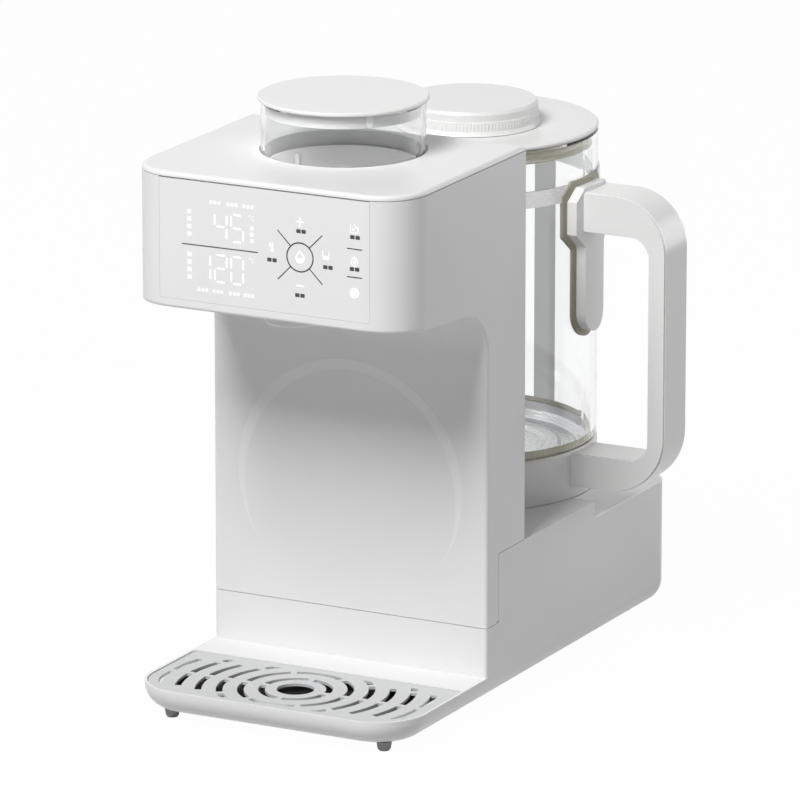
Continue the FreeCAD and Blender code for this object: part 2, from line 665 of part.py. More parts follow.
def lid_ring():
    """The skirt under the hopper lid that holds the seal."""
    outer = CUP_RADIUS - CUP_WALL - 0.6
    z = CUP_TOP_Z + 0.3
    body = ring(0, HOPPER_Y, z - LID_RING_DEPTH, z, outer, outer - 2.5)
    groove = ring(0, HOPPER_Y, z - 3.6, z - 1.6, outer + 1, outer - 1.2)
    return body.cut(groove)


def lid_ring_seal():
    outer = CUP_RADIUS - CUP_WALL - 0.6
    z = CUP_TOP_Z + 0.3
    return ring(0, HOPPER_Y, z - 3.6, z - 1.6, outer + 0.25, outer - 1.2)


def involute(angle):
    return math.tan(angle) - angle


def gear_face(teeth, x, y, z, phase):
    """An involute spur gear's outline with a tooth centred on the phase angle, in degrees."""
    pitch = GEAR_MODULE * teeth / 2
    base = pitch * math.cos(math.radians(20))
    tip = pitch + GEAR_MODULE
    root = pitch - 1.25 * GEAR_MODULE
    half = math.pi / (2 * teeth) - GEAR_BACKLASH / (4 * pitch)
    low = max(base, root)
    points = []
    for tooth in range(teeth):
        centre = math.radians(phase) + 2 * math.pi * tooth / teeth
        flank = []
        for share in (0.0, 0.5, 1.0):
            r = low + (tip - low) * share
            flank.append((r, half + involute(math.radians(20)) - involute(math.acos(base / r))))
        flank = [(root, flank[0][1] + 0.01)] + flank
        for r, offset in flank:
            points.append(V(x + r * math.cos(centre - offset), y + r * math.sin(centre - offset), z))
        for r, offset in reversed(flank):
            points.append(V(x + r * math.cos(centre + offset), y + r * math.sin(centre + offset), z))
    return Part.Face(Part.makePolygon(points + points[:1]))


def motor_spot():
    distance = GEAR_MODULE * (GEAR_TEETH + PINION_TEETH) / 2
    k = distance * math.sqrt(0.5)
    return k, HOPPER_Y + k


def drive_gear():
    z = GEAR_TOP_Z - GEAR_WIDTH
    body = gear_face(GEAR_TEETH, 0, HOPPER_Y, z, 45).extrude(V(0, 0, GEAR_WIDTH))
    shaft = rod(0, HOPPER_Y, GEAR_TOP_Z, CUP_FLOOR_Z + 0.5, SPINDLE_RADIUS)
    drive = dog(DOG_ACROSS / 2, CUP_FLOOR_Z + 0.5, ROTOR_Z + SOCKET_DEPTH - 0.5)
    pivot = rod(0, HOPPER_Y, z - BRACKET_GAP - BRACKET_THICK, z, 3.0)
    return body.fuse([shaft, drive, pivot]).removeSplitter()


def motor_pinion():
    x, y = motor_spot()
    z = GEAR_TOP_Z - GEAR_WIDTH
    phase = 45 + 180 + 180 / PINION_TEETH
    body = gear_face(PINION_TEETH, x, y, z, phase).extrude(V(0, 0, GEAR_WIDTH))
    return body.fuse(rod(x, y, z - BRACKET_GAP - BRACKET_THICK, z, 2.0)).removeSplitter()


def dosing_bracket():
    """The plate under the gears, hung from the hopper seat on posts."""
    x, y = motor_spot()
    top = GEAR_TOP_Z - GEAR_WIDTH - BRACKET_GAP
    plate = block(-24, 33, -23.5, 26, top - BRACKET_THICK, top)
    plate = plate.cut(rod(0, HOPPER_Y, top - 5, top + 1, 3.0 + RUN_GAP))
    plate = plate.cut(rod(x, y, top - 5, top + 1, 2.0 + RUN_GAP))
    posts = [rod(px, py, top, SEAT_FLOOR_Z, 2.6) for px, py in ((-21, -18), (-21, 22), (30, 22), (29, -19))]
    return plate.fuse(posts).removeSplitter()


def dosing_motor():
    x, y = motor_spot()
    top = GEAR_TOP_Z - GEAR_WIDTH - BRACKET_GAP - BRACKET_THICK
    can = rod(x, y, top - MOTOR_LENGTH, top, MOTOR_RADIUS)
    can = rounded(can, 1.0, lambda m: True)
    return can.fuse(block(x - 5, x + 5, y - 8, y + 8, top - MOTOR_LENGTH - 2, top - MOTOR_LENGTH + 1))


# Powder chute and nozzle


def powder_chute():
    def pipe(radius, low_radius, extra):
        top = Part.Wire(Part.makeCircle(radius, V(0, outlet_y(), SEAT_FLOOR_Z + extra), UP))
        low = Part.Wire(Part.makeCircle(low_radius, V(0, DRIP_Y, NOZZLE_TOP_Z - extra), UP))
        return Part.makeLoft([low, top], True, True)

    return pipe(POCKET_RADIUS + 2.6, NOZZLE_BORE + 1.6, 0).cut(pipe(POCKET_RADIUS + 1, NOZZLE_BORE, 0))


def nozzle():
    port_z = NOZZLE_TOP_Z - 3
    body = turned([(NOZZLE_BORE, NOZZLE_BOTTOM_Z), (NOZZLE_RADIUS - 1.5, NOZZLE_BOTTOM_Z),
                   (NOZZLE_RADIUS, NOZZLE_BOTTOM_Z + 1.5), (NOZZLE_RADIUS, HEAD_LIP_Z + 3.5),
                   (NOZZLE_RADIUS + NOZZLE_FLANGE, HEAD_LIP_Z + 3.5), (NOZZLE_RADIUS + NOZZLE_FLANGE, HEAD_LIP_Z + 5.5),
                   (NOZZLE_RADIUS, HEAD_LIP_Z + 5.5), (NOZZLE_RADIUS, NOZZLE_TOP_Z),
                   (NOZZLE_BORE, NOZZLE_TOP_Z)], 0, DRIP_Y)
    port = Part.makeCylinder(HOSE_BORE, 10, V(-NOZZLE_RADIUS - 8, DRIP_Y, port_z - 2), V(1, 0, 0))
    spigot = port.cut(Part.makeCylinder(HOSE_BORE - 1.2, 12, V(-NOZZLE_RADIUS - 9, DRIP_Y, port_z - 2),
                                        V(1, 0, 0)))
    inside = Part.makeCylinder(HOSE_BORE - 1.2, NOZZLE_RADIUS, V(-NOZZLE_RADIUS - 1, DRIP_Y, port_z - 2),
                               V(1, 0, 0))
    return body.fuse(spigot).removeSplitter().cut(inside)


# Electrics


def display_board():
    half = PANEL_HALF - 6
    y = -HEAD_REACH + WALL + 1.2
    board = block(-half, half, y, y + 1.6, HEAD_LIP_Z + 9, HEAD_SEAM_Z - 10)
    chip = block(-12, 12, y + 1.6, y + 4.0, HEAD_LIP_Z + 28, HEAD_LIP_Z + 44)
    plug = block(25, 41, y + 1.6, y + 8.0, HEAD_LIP_Z + 14, HEAD_LIP_Z + 20)
    return board.fuse([chip, plug])


def main_board():
    y = TOWER_DEPTH - WALL - 6
    board = block(4, 72, y, y + 1.6, DECK_Z + 24, DECK_Z + 124)
    parts = [block(12, 30, y - 9, y, DECK_Z + 34, DECK_Z + 58),
             block(40, 58, y - 6, y, DECK_Z + 70, DECK_Z + 96),
             Part.makeCylinder(5, 16, V(20, y, DECK_Z + 84), V(0, -1, 0)),
             Part.makeCylinder(5, 16, V(62, y, DECK_Z + 48), V(0, -1, 0))]
    posts = [Part.makeCylinder(2, 4.4, V(px, y + 1.6, pz), V(0, 1, 0))
             for px in (8, 68) for pz in (DECK_Z + 28, DECK_Z + 120)]
    return board.fuse(parts + posts)


def power_board():
    z = PAN_BOTTOM + WALL + 5
    board = block(18, 70, 20, 120, z, z + 1.6)
    parts = [block(26, 52, 30, 56, z + 1.6, z + 24), block(30, 46, 66, 84, z + 1.6, z + 18),
             rod(60, 72, z + 1.6, z + 26, 7), rod(60, 92, z + 1.6, z + 20, 6)]
    posts = [rod(px, py, PAN_BOTTOM + WALL, z, 2.2) for px in (22, 66) for py in (24, 116)]
    return board.fuse(parts + posts)


def inlet_block(gap, y0, y1):
    half_width = INLET_WIDTH / 2 + 2 + gap
    half_height = INLET_HEIGHT / 2 + 2 + gap
    body = block(INLET_X - half_width, INLET_X + half_width, y0, y1,
                 INLET_Z - half_height, INLET_Z + half_height)
    return rounded(body, 3.0, lambda m: near(m.y, (y0 + y1) / 2))


def power_inlet():
    back = MACHINE_BACK
    body = inlet_block(0, back - INLET_DEPTH - 4, back - 0.2)
    flange = inlet_block(INLET_RIM, back - WALL - 2.2, back - WALL)
    body = body.fuse(flange).removeSplitter()
    opening = block(INLET_X - INLET_WIDTH / 2, INLET_X + INLET_WIDTH / 2, back - INLET_DEPTH, back + 1,
                    INLET_Z - INLET_HEIGHT / 2, INLET_Z + INLET_HEIGHT / 2)
    upper = [edge for edge in opening.Edges if edge.Length > INLET_DEPTH and edge.Length < INLET_DEPTH + 2
             and edge.CenterOfMass.z > INLET_Z]
    opening = opening.makeChamfer(3.0, upper)
    return body.cut(opening)


def inlet_pins():
    back = MACHINE_BACK
    pins = []
    for px, pz in ((-7, -1.5), (0, 2.5), (7, -1.5)):
        pins.append(block(INLET_X + px - 1, INLET_X + px + 1, back - INLET_DEPTH, back - 3,
                          INLET_Z + pz - 2, INLET_Z + pz + 2))
    return Part.makeCompound(pins)


# Jug seat, pump and hoses


def coupler_base():
    """The ring shaped electrical coupler that stands up from the deck."""
    top = DECK_Z + COUPLER_HEIGHT
    body = turned([(WATER_SEAT_RADIUS + 0.2, DECK_Z - WALL - 3), (COUPLER_RADIUS + 6, DECK_Z - WALL - 3),
                   (COUPLER_RADIUS + 6, DECK_Z - WALL), (COUPLER_RADIUS, DECK_Z - WALL),
                   (COUPLER_RADIUS, top - 1), (COUPLER_RADIUS - 1, top), (WATER_SEAT_RADIUS + 0.2, top)],
                  0, JUG_Y)
    return body.cut(ring(0, JUG_Y, top - 5, top + 1, 15.2, 14.0))


def water_seat():
    """The soft cup that the jug's valve tube stands in, with its stub and push pin."""
    top = DECK_Z + COUPLER_HEIGHT - 0.5
    floor = DECK_Z - 6
    r = WATER_SEAT_RADIUS
    body = turned([(2.6, SEAT_STUB_Z), (HOSE_BORE, SEAT_STUB_Z), (HOSE_BORE, floor - 4), (r, floor - 3),
                   (r, top), (VALVE_RADIUS + 0.5, top), (VALVE_RADIUS + 0.5, floor), (2.6, floor - 2)],
                  0, JUG_Y)
    return body


def seat_pin():
    """The push pin that lifts the valve when the jug stands on the deck."""
    floor = DECK_Z - 6
    spider = ring(0, JUG_Y, floor, floor + 1.2, VALVE_RADIUS + 0.5, 5.6)
    arms = [block(-5.8, 5.8, JUG_Y - 0.8, JUG_Y + 0.8, floor, floor + 1.2)]
    return spider.fuse(arms + [rod(0, JUG_Y, floor, DECK_Z - 0.2, 1.6)]).removeSplitter()


def pump_body():
    """The pump's volute, inlet spigot and outlet spigot. Its axis lies along X."""
    x = -VOLUTE_WIDTH
    axis = V(1, 0, 0)
    case = Part.makeCylinder(VOLUTE_RADIUS, VOLUTE_WIDTH, V(x, PUMP_Y, PUMP_Z), axis)
    outlet_y0 = PUMP_Y - VOLUTE_RADIUS + 5
    inlet = Part.makeCylinder(HOSE_BORE, 12, V(0, PUMP_Y, PUMP_Z), axis)
    outlet = rod(x / 2, outlet_y0, PUMP_Z, PUMP_Z + VOLUTE_RADIUS + 6, HOSE_BORE)
    body = case.fuse([inlet, outlet]).removeSplitter()
    body = body.cut(Part.makeCylinder(VOLUTE_RADIUS - 2, VOLUTE_WIDTH - 4, V(x + 2, PUMP_Y, PUMP_Z), axis))
    body = body.cut(Part.makeCylinder(HOSE_BORE - 1.2, 16, V(-3, PUMP_Y, PUMP_Z), axis))
    body = body.cut(Part.makeCylinder(2.0 + RUN_GAP, 6, V(x - 1, PUMP_Y, PUMP_Z), axis))
    return body.cut(rod(x / 2, outlet_y0, PUMP_Z, PUMP_Z + VOLUTE_RADIUS + 8, HOSE_BORE - 1.2))


def pump_impeller():
    x = -VOLUTE_WIDTH
    axis = V(1, 0, 0)
    disc = Part.makeCylinder(VOLUTE_RADIUS - 6, 2, V(x + 3.5, PUMP_Y, PUMP_Z), axis)
    hub = Part.makeCylinder(4, 6, V(x + 3.5, PUMP_Y, PUMP_Z), axis)
    shaft = Part.makeCylinder(2.0, 10, V(x - 5, PUMP_Y, PUMP_Z), axis)
    vanes = []
    for index in range(6):
        vane = block(x + 5.5, x + 9.5, PUMP_Y - 0.7, PUMP_Y + 0.7, PUMP_Z + 3, PUMP_Z + VOLUTE_RADIUS - 6.5)
        vane.rotate(V(0, PUMP_Y, PUMP_Z), axis, index * 60)
        vanes.append(vane)
    return disc.fuse([hub, shaft] + vanes).removeSplitter()


def pump_motor():
    x = -VOLUTE_WIDTH
    axis = V(-1, 0, 0)
    can = Part.makeCylinder(PUMP_MOTOR_RADIUS, PUMP_MOTOR_LENGTH, V(x, PUMP_Y, PUMP_Z), axis)
    can = can.cut(Part.makeCylinder(2.0 + RUN_GAP, 6, V(x + 1, PUMP_Y, PUMP_Z), axis))
    return can


def pump_cradle():
    """The bracket that holds the pump off the pan's floor."""
    low = PAN_BOTTOM + WALL
    x0 = -VOLUTE_WIDTH - PUMP_MOTOR_LENGTH + 6
    x1 = -VOLUTE_WIDTH - 4
    body = block(x0, x1, PUMP_Y - PUMP_MOTOR_RADIUS - 3, PUMP_Y + PUMP_MOTOR_RADIUS + 3, low, PUMP_Z - 4)
    body = body.cut(Part.makeCylinder(PUMP_MOTOR_RADIUS, 60, V(x0 - 5, PUMP_Y, PUMP_Z), V(1, 0, 0)))
    return body.cut(block(x0 - 1, x1 + 1, PUMP_Y - 8, PUMP_Y + 8, low - 1, low + 5))


def flow_meter():
    z = DECK_Z + 30
    body = rod(RISER_X, RISER_Y, z, z + 26, 10.5)
    ends = rod(RISER_X, RISER_Y, z - 8, z + 34, HOSE_BORE)
    body = body.fuse(ends).removeSplitter()
    return body.cut(rod(RISER_X, RISER_Y, z - 9, z + 35, HOSE_BORE - 1.2))


def supply_hose():
    points = [V(0, JUG_Y, SEAT_STUB_Z + 7), V(0, JUG_Y, PUMP_Z + 14), V(14, JUG_Y - 12, PUMP_Z),
              V(32, PUMP_Y + 16, PUMP_Z), V(26, PUMP_Y, PUMP_Z), V(3, PUMP_Y, PUMP_Z)]
    return hose(points, 8, HOSE_RADIUS, HOSE_BORE)


def riser_lower():
    x = -VOLUTE_WIDTH / 2
    y = PUMP_Y - VOLUTE_RADIUS + 5
    start = PUMP_Z + VOLUTE_RADIUS + 1
    turn = DECK_Z - 18
    points = [V(x, y, start), V(x, y, turn), V(RISER_X, RISER_Y, turn),
              V(RISER_X, RISER_Y, DECK_Z + 29)]
    return hose(points, 9, HOSE_RADIUS, HOSE_BORE)


def riser_upper():
    port_z = NOZZLE_TOP_Z - 5
    points = [V(RISER_X, RISER_Y, DECK_Z + 57), V(RISER_X, RISER_Y, port_z),
              V(RISER_X, DRIP_Y, port_z), V(-NOZZLE_RADIUS - NOZZLE_FLANGE - FIT_GAP, DRIP_Y, port_z)]
    return hose(points, 12, HOSE_RADIUS, HOSE_BORE)


# Jug


def jug_collar():
    r = COLLAR_RADIUS
    inner = r - COLLAR_WALL
    lip = GLASS_RADIUS - GLASS_WALL - 2
    return turned([(inner, DECK_Z), (r - 0.8, DECK_Z), (r, DECK_Z + 0.8), (r, COLLAR_TOP_Z - 1),
                   (r - 1, COLLAR_TOP_Z), (lip, COLLAR_TOP_Z), (lip, COLLAR_TOP_Z - 2.4),
                   (inner, COLLAR_TOP_Z - 5)], 0, JUG_Y)


def jug_glass():
    r = GLASS_RADIUS
    inner = r - GLASS_WALL
    return turned([(inner, COLLAR_TOP_Z + 0.9), (inner + 0.9, COLLAR_TOP_Z), (r - 0.9, COLLAR_TOP_Z),
                   (r, COLLAR_TOP_Z + 0.9), (r, GLASS_TOP_Z - 0.9), (r - 0.9, GLASS_TOP_Z),
                   (inner + 0.9, GLASS_TOP_Z), (inner, GLASS_TOP_Z - 0.9)], 0, JUG_Y)


def heater_plate():
    """The steel dish that closes the jug's bottom, with two raised rings."""
    rim = GLASS_RADIUS - GLASS_WALL - 2
    t = PLATE_THICK
    z = PLATE_Z
    body = turned([(VALVE_RADIUS, z), (18, z), (20, z + 1.2), (26, z + 1.2), (28, z), (40, z),
                   (42, z + 1.2), (48, z + 1.2), (50, z), (rim - 5, z), (rim, z + 5),
                   (rim, z + PLATE_RIM), (rim - 1, z + PLATE_RIM), (rim - 1, z + 5.6),
                   (rim - 5.4, z + t), (50, z + t), (48, z + 1.2 + t), (42, z + 1.2 + t), (40, z + t),
                   (28, z + t), (26, z + 1.2 + t), (20, z + 1.2 + t), (18, z + t), (VALVE_RADIUS, z + t)],
                  0, JUG_Y)
    return body


def glass_seal():
    """The soft ring between the dish's rim and the glass."""
    inner = GLASS_RADIUS - GLASS_WALL - 2
    outer = GLASS_RADIUS - GLASS_WALL
    low = COLLAR_TOP_Z
    return turned([(inner, low), (outer, low + 0.9), (outer, low + 5), (inner, low + 3.5)], 0, JUG_Y)


def heating_element():
    loop = Part.makeTorus(34, 4, V(0, JUG_Y, PLATE_Z - 4.2), UP, 0, 360, 330)
    spread = ring(0, JUG_Y, PLATE_Z - 2.2, PLATE_Z, 39, 29)
    return loop.fuse(spread)


def jug_bottom():
    """The plate that closes the collar from below."""
    radius = COLLAR_RADIUS - COLLAR_WALL
    body = turned([(COUPLER_RADIUS + 5.2, DECK_Z + 1), (radius, DECK_Z + 1), (radius, DECK_Z + 3.4),
                   (COUPLER_RADIUS + 5.2, DECK_Z + 3.4)], 0, JUG_Y)
    return body


def jug_coupler():
    """The jug's half of the electrical coupler, a cap over the deck's ring."""
    r = COUPLER_RADIUS
    z = DECK_Z + COUPLER_HEIGHT + 0.8
    return turned([(r + 0.5, DECK_Z + 1), (r + 5.2, DECK_Z + 1), (r + 5.2, z + 2.2),
                   (VALVE_RADIUS + 3.4, z + 2.2), (VALVE_RADIUS + 3.4, z), (r + 0.5, z)], 0, JUG_Y)


def valve_body():
    """The tube through the dish, with its flange inside the jug and a nut below."""
    r = VALVE_RADIUS
    body = turned([(4.6, VALVE_TUBE_BOTTOM), (r, VALVE_TUBE_BOTTOM), (r, PLATE_Z + PLATE_THICK),
                   (r + 5, PLATE_Z + PLATE_THICK), (r + 5, VALVE_SEAT_Z), (5.2, VALVE_SEAT_Z),
                   (5.2, VALVE_SEAT_Z - 3), (4.6, VALVE_SEAT_Z - 3)], 0, JUG_Y)
    shelf = ring(0, JUG_Y, VALVE_SEAT_Z - 12, VALVE_SEAT_Z - 10.8, 5.0, STEM_RADIUS + RUN_GAP)
    holes = [rod(3.5 * math.cos(a), JUG_Y + 3.5 * math.sin(a), VALVE_SEAT_Z - 13, VALVE_SEAT_Z - 10, 0.8)
             for a in [math.radians(90 * i) for i in range(4)]]
    return body.fuse(shelf.cut(Part.makeCompound(holes))).removeSplitter()


def valve_plunger():
    """The poppet that closes the jug's outlet, on a stem that the push pin lifts."""
    z = VALVE_SEAT_Z
    return turned([(0, DECK_Z + 0.3), (STEM_RADIUS, DECK_Z + 0.3), (STEM_RADIUS, SPRING_LOW_Z - 0.8),
                   (3.8, SPRING_LOW_Z - 0.8), (3.8, SPRING_LOW_Z), (STEM_RADIUS, SPRING_LOW_Z),
                   (STEM_RADIUS, z), (7.4, z), (7.4, z + 1.2), (5.5, z + 2.4), (0, z + 3)], 0, JUG_Y)


def valve_spring():
    """The coil between the stem's collar and the guide shelf."""
    low = SPRING_LOW_Z + WIRE_RADIUS
    high = VALVE_SEAT_Z - 12 - WIRE_RADIUS
    turns = 5
    helix = Part.makeHelix((high - low) / turns, high - low, SPRING_RADIUS)
    helix.translate(V(0, JUG_Y, low))
    start = V(SPRING_RADIUS, JUG_Y, low)
    section = Part.Wire(Part.makeCircle(WIRE_RADIUS, start, V(0, 1, 0)))
    return Part.Wire(helix.Edges).makePipeShell([section], True, True)


def glass_band():
    r = GLASS_RADIUS
    band = ring(0, JUG_Y, BAND_Z, BAND_Z + BAND_HEIGHT, r + 0.1 + BAND_THICK, r + 0.1)
    return band.cut(pad_prism(GASKET_BORDER + 0.05))


def pad_outline(grow, x):
    """The handle pad seen from the side of the jug, grown all round."""
    wide = PAD_HALF + grow
    slim = TONGUE_HALF + grow
    top = PAD_TOP_Z + grow
    shoulder = PAD_WIDE_Z - grow * 0.4
    neck = shoulder - (PAD_HALF - TONGUE_HALF)
    end = TONGUE_END_Z - grow + slim
    cut = 7.0
    pts = [V(x, JUG_Y - wide + cut, top), V(x, JUG_Y + wide - cut, top), V(x, JUG_Y + wide, top - cut),
           V(x, JUG_Y + wide, shoulder), V(x, JUG_Y + slim, neck), V(x, JUG_Y + slim, end),
           V(x, JUG_Y - slim, end), V(x, JUG_Y - slim, neck), V(x, JUG_Y - wide, shoulder),
           V(x, JUG_Y - wide, top - cut)]
    edges = [Part.makeLine(a, b) for a, b in zip(pts[:5], pts[1:6])]
    edges.append(Part.Arc(pts[5], V(x, JUG_Y, TONGUE_END_Z - grow), pts[6]).toShape())
    edges += [Part.makeLine(a, b) for a, b in zip(pts[6:], pts[7:] + pts[:1])]
    return Part.Face(Part.Wire(edges))


def pad_prism(grow):
    return pad_outline(grow, PAD_CUT_X).extrude(V(PAD_RADIUS, 0, 0))


def handle_gasket():
    r = GLASS_RADIUS + 0.1
    sleeve = ring(0, JUG_Y, TONGUE_END_Z - 20, PAD_TOP_Z + 20, r + GASKET_THICK, r)
    return sleeve.common(pad_prism(GASKET_BORDER))


def handle_face(grow, y):
    """The handle's closed outline from the jug's side, at a given y, taken in by -grow."""
    k = math.sqrt(0.5)
    x0 = ARM_ROOT_X + 5.0
    xi = GRIP_INNER_X - grow
    xo = GRIP_INNER_X + GRIP_THICK + grow
    top = ARM_TOP_Z + grow
    top_in = ARM_TOP_Z - ARM_TOP_THICK - grow
    low = ARM_LOW_Z - grow
    low_in = ARM_LOW_Z + ARM_LOW_THICK + grow
    rt, rl, ri = CORNER_TOP + grow, CORNER_LOW + grow, CORNER_INNER - grow

    def arc(a, centre, radius, ax, az, b):
        return Part.Arc(a, V(centre.x + ax * radius * k, y, centre.z + az * radius * k), b).toShape()

    p = [V(x0, y, top_in), V(xi - ri, y, top_in), V(xi, y, top_in - ri), V(xi, y, low_in + ri),
         V(xi - ri, y, low_in), V(x0, y, low_in), V(x0, y, low), V(xo - rl, y, low), V(xo, y, low + rl),
         V(xo, y, top - rt), V(xo - rt, y, top), V(x0, y, top)]
    edges = [
        Part.makeLine(p[0], p[1]), arc(p[1], V(xi - ri, y, top_in - ri), ri, 1, 1, p[2]),
        Part.makeLine(p[2], p[3]), arc(p[3], V(xi - ri, y, low_in + ri), ri, 1, -1, p[4]),
        Part.makeLine(p[4], p[5]), Part.makeLine(p[5], p[6]), Part.makeLine(p[6], p[7]),
        arc(p[7], V(xo - rl, y, low + rl), rl, 1, -1, p[8]), Part.makeLine(p[8], p[9]),
        arc(p[9], V(xo - rt, y, top - rt), rt, 1, 1, p[10]), Part.makeLine(p[10], p[11]),
        Part.makeLine(p[11], p[0]),
    ]
    return Part.Face(Part.Wire(edges))


def handle_bar(grow, y0, y1):
    return handle_face(grow, y0).extrude(V(0, y1 - y0, 0))


def handle_body():
    """The grip with its two arms and the pad on the glass. Its front is closed by the cover."""
    y0 = JUG_Y - HANDLE_WIDTH / 2
    y1 = JUG_Y + HANDLE_WIDTH / 2
    bar = handle_bar(0, y0 + HANDLE_COVER, y1)
    bar = bar.cut(handle_bar(-HANDLE_WALL, y0 + HANDLE_COVER - 1, y1 - HANDLE_WALL))
    upper = bar.common(block(ARM_ROOT_X, PAST_GRIP_X, y0 - 1, y1 + 1, ARM_SPLIT_Z, ARM_TOP_Z + 5))
    lower = bar.common(block(ARM_ROOT_X, PAST_GRIP_X, y0 - 1, y1 + 1, ARM_LOW_Z - 5, ARM_SPLIT_Z))
    upper = upper.cut(rod(0, JUG_Y, 0, ABOVE_ALL_Z, PAD_RADIUS - 0.5))
    lower = lower.cut(rod(0, JUG_Y, 0, ABOVE_ALL_Z, COLLAR_RADIUS))
    stop = block(COLLAR_RADIUS - 3, COLLAR_RADIUS + 6, y0 + HANDLE_COVER, y1, ARM_LOW_Z,
                 ARM_LOW_Z + ARM_LOW_THICK)
    lower = lower.fuse(stop.cut(rod(0, JUG_Y, 0, ABOVE_ALL_Z, COLLAR_RADIUS)).common(handle_bar(0, y0, y1)))
    glass_side = GLASS_RADIUS + 0.1 + GASKET_THICK
    pad = ring(0, JUG_Y, TONGUE_END_Z - 5, PAD_TOP_Z + 5, PAD_RADIUS, glass_side).common(pad_prism(0))
    return pad.fuse([upper, lower]).removeSplitter()


def handle_cover():
    y0 = JUG_Y - HANDLE_WIDTH / 2
    plate = handle_bar(-0.5, y0, y0 + HANDLE_COVER - 0.1)
    upper = plate.common(block(ARM_ROOT_X, PAST_GRIP_X, y0 - 1, y0 + 5, ARM_SPLIT_Z, ARM_TOP_Z + 5))
    lower = plate.common(block(ARM_ROOT_X, PAST_GRIP_X, y0 - 1, y0 + 5, ARM_LOW_Z - 5, ARM_SPLIT_Z))
    upper = upper.cut(rod(0, JUG_Y, 0, ABOVE_ALL_Z, PAD_RADIUS + 0.1))
    lower = lower.cut(rod(0, JUG_Y, 0, ABOVE_ALL_Z, COLLAR_RADIUS + 0.1))
    return upper.fuse(lower).removeSplitter()


def handle_screws():
    """Two screws through the pad and one through the lower arm's end."""
    shapes = []
    for z in (ARM_TOP_Z - 6, ARM_TOP_Z - 16):
        head = Part.makeCylinder(2.6, 1.8, V(PAD_RADIUS, JUG_Y, z), V(1, 0, 0))
        shapes.append(head)
    low = Part.makeCylinder(2.6, 1.8, V(COLLAR_RADIUS + 6, JUG_Y, ARM_LOW_Z + 9), V(1, 0, 0))
    return Part.makeCompound(shapes + [low])


# Jug lid and knob


def jug_lid():
    """The white disc on the glass, dished down towards the knob."""
    z = LID_Z
    top = z + LID_THICK
    body = turned([(KNOB_STEM_RADIUS + RUN_GAP, z), (LID_RADIUS - 0.8, z), (LID_RADIUS, z + 0.8),
                   (LID_RADIUS, top - 0.8), (LID_RADIUS - 0.8, top), (LID_RADIUS - 6, top),
                   (KNOB_RADIUS + 3, top - 1.0), (KNOB_STEM_RADIUS + RUN_GAP, top - 1.0)], 0, JUG_Y)
    for index in range(3):
        angle = math.radians(90 + 120 * index)
        body = body.cut(rod(22 * math.cos(angle), JUG_Y + 22 * math.sin(angle), z - 1, top + 1, 3.0))
    return body


def lid_plug():
    """The hollow plug under the lid that carries the seal."""
    z = LID_Z
    t = 2.0
    low = z - PLUG_DEPTH
    return turned([(PLUG_RADIUS, z), (PLUG_RADIUS - t, z), (PLUG_RADIUS - t, low + t),
                   (PLUG_HOLE_RADIUS, low + t), (PLUG_HOLE_RADIUS, low), (PLUG_RADIUS - 1, low),
                   (PLUG_RADIUS, low + 1)], 0, JUG_Y)


def lid_seal():
    z = LID_Z
    outer = GLASS_RADIUS - GLASS_WALL - 0.4
    r = PLUG_RADIUS
    return turned([(r, z - 0.2), (r + 1.2, z - 0.2), (outer - 1, z - 1.6), (outer, z - 2.6),
                   (r + 1.4, z - 3.6), (r + 1.4, z - 5.6), (outer, z - 7.4), (outer - 0.8, z - 8.2),
                   (r, z - 8.2)], 0, JUG_Y)


def lid_knob():
    """The vent knob: a broad cap on a stem that turns in the lid."""
    low = LID_Z + LID_THICK - 0.7
    top = KNOB_TOP_Z
    r = KNOB_RADIUS
    body = turned([(0, low + 3), (r - 3, low + 3), (r - 3, low), (r + 1, low), (r + 0.4, low + 1.2),
                   (r, low + 2.4), (r, top - 5.6), (r - 0.4, top - 5.2), (r - 0.4, top - 1.6),
                   (r - 1.6, top), (0, top)], 0, JUG_Y)
    stem = rod(0, JUG_Y, LID_Z - 4, low + 4, KNOB_STEM_RADIUS)
    foot = rod(0, JUG_Y, LID_Z - 5.5, LID_Z - 0.4, KNOB_STEM_RADIUS + 2)
    return body.fuse([stem, foot]).removeSplitter()


def make():
    builders = [
        base_pan, feet, base_screws, drip_tray, drip_grill, lower_housing, tower_shell, control_panel,
        back_cover, back_screws, top_cover, hopper_seat, hopper_cup, hopper_funnel, dosing_rotor,
        agitator, hopper_lid, lid_ring, lid_ring_seal, drive_gear, motor_pinion, dosing_bracket,
        dosing_motor, powder_chute, nozzle, display_board, main_board, power_board, power_inlet,
        inlet_pins, coupler_base, water_seat, seat_pin, pump_body, pump_impeller, pump_motor,
        pump_cradle, flow_meter, supply_hose, riser_lower, riser_upper, jug_collar, jug_glass,
        heater_plate, glass_seal, heating_element, jug_bottom, jug_coupler, valve_body, valve_plunger,
        valve_spring, glass_band, handle_gasket, handle_body, handle_cover,
        handle_screws, jug_lid, lid_plug, lid_seal, lid_knob,
    ]
    os.makedirs("parts", exist_ok=True)
    for builder in builders:
        shape = builder()
        shape.translate(SHIFT)
        if not shape.isValid() or not shape.Solids:
            print("check", builder.__name__, shape.isValid(), len(shape.Solids))
        shape.exportStep("parts/" + builder.__name__ + ".step")


make()
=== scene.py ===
import json
import math

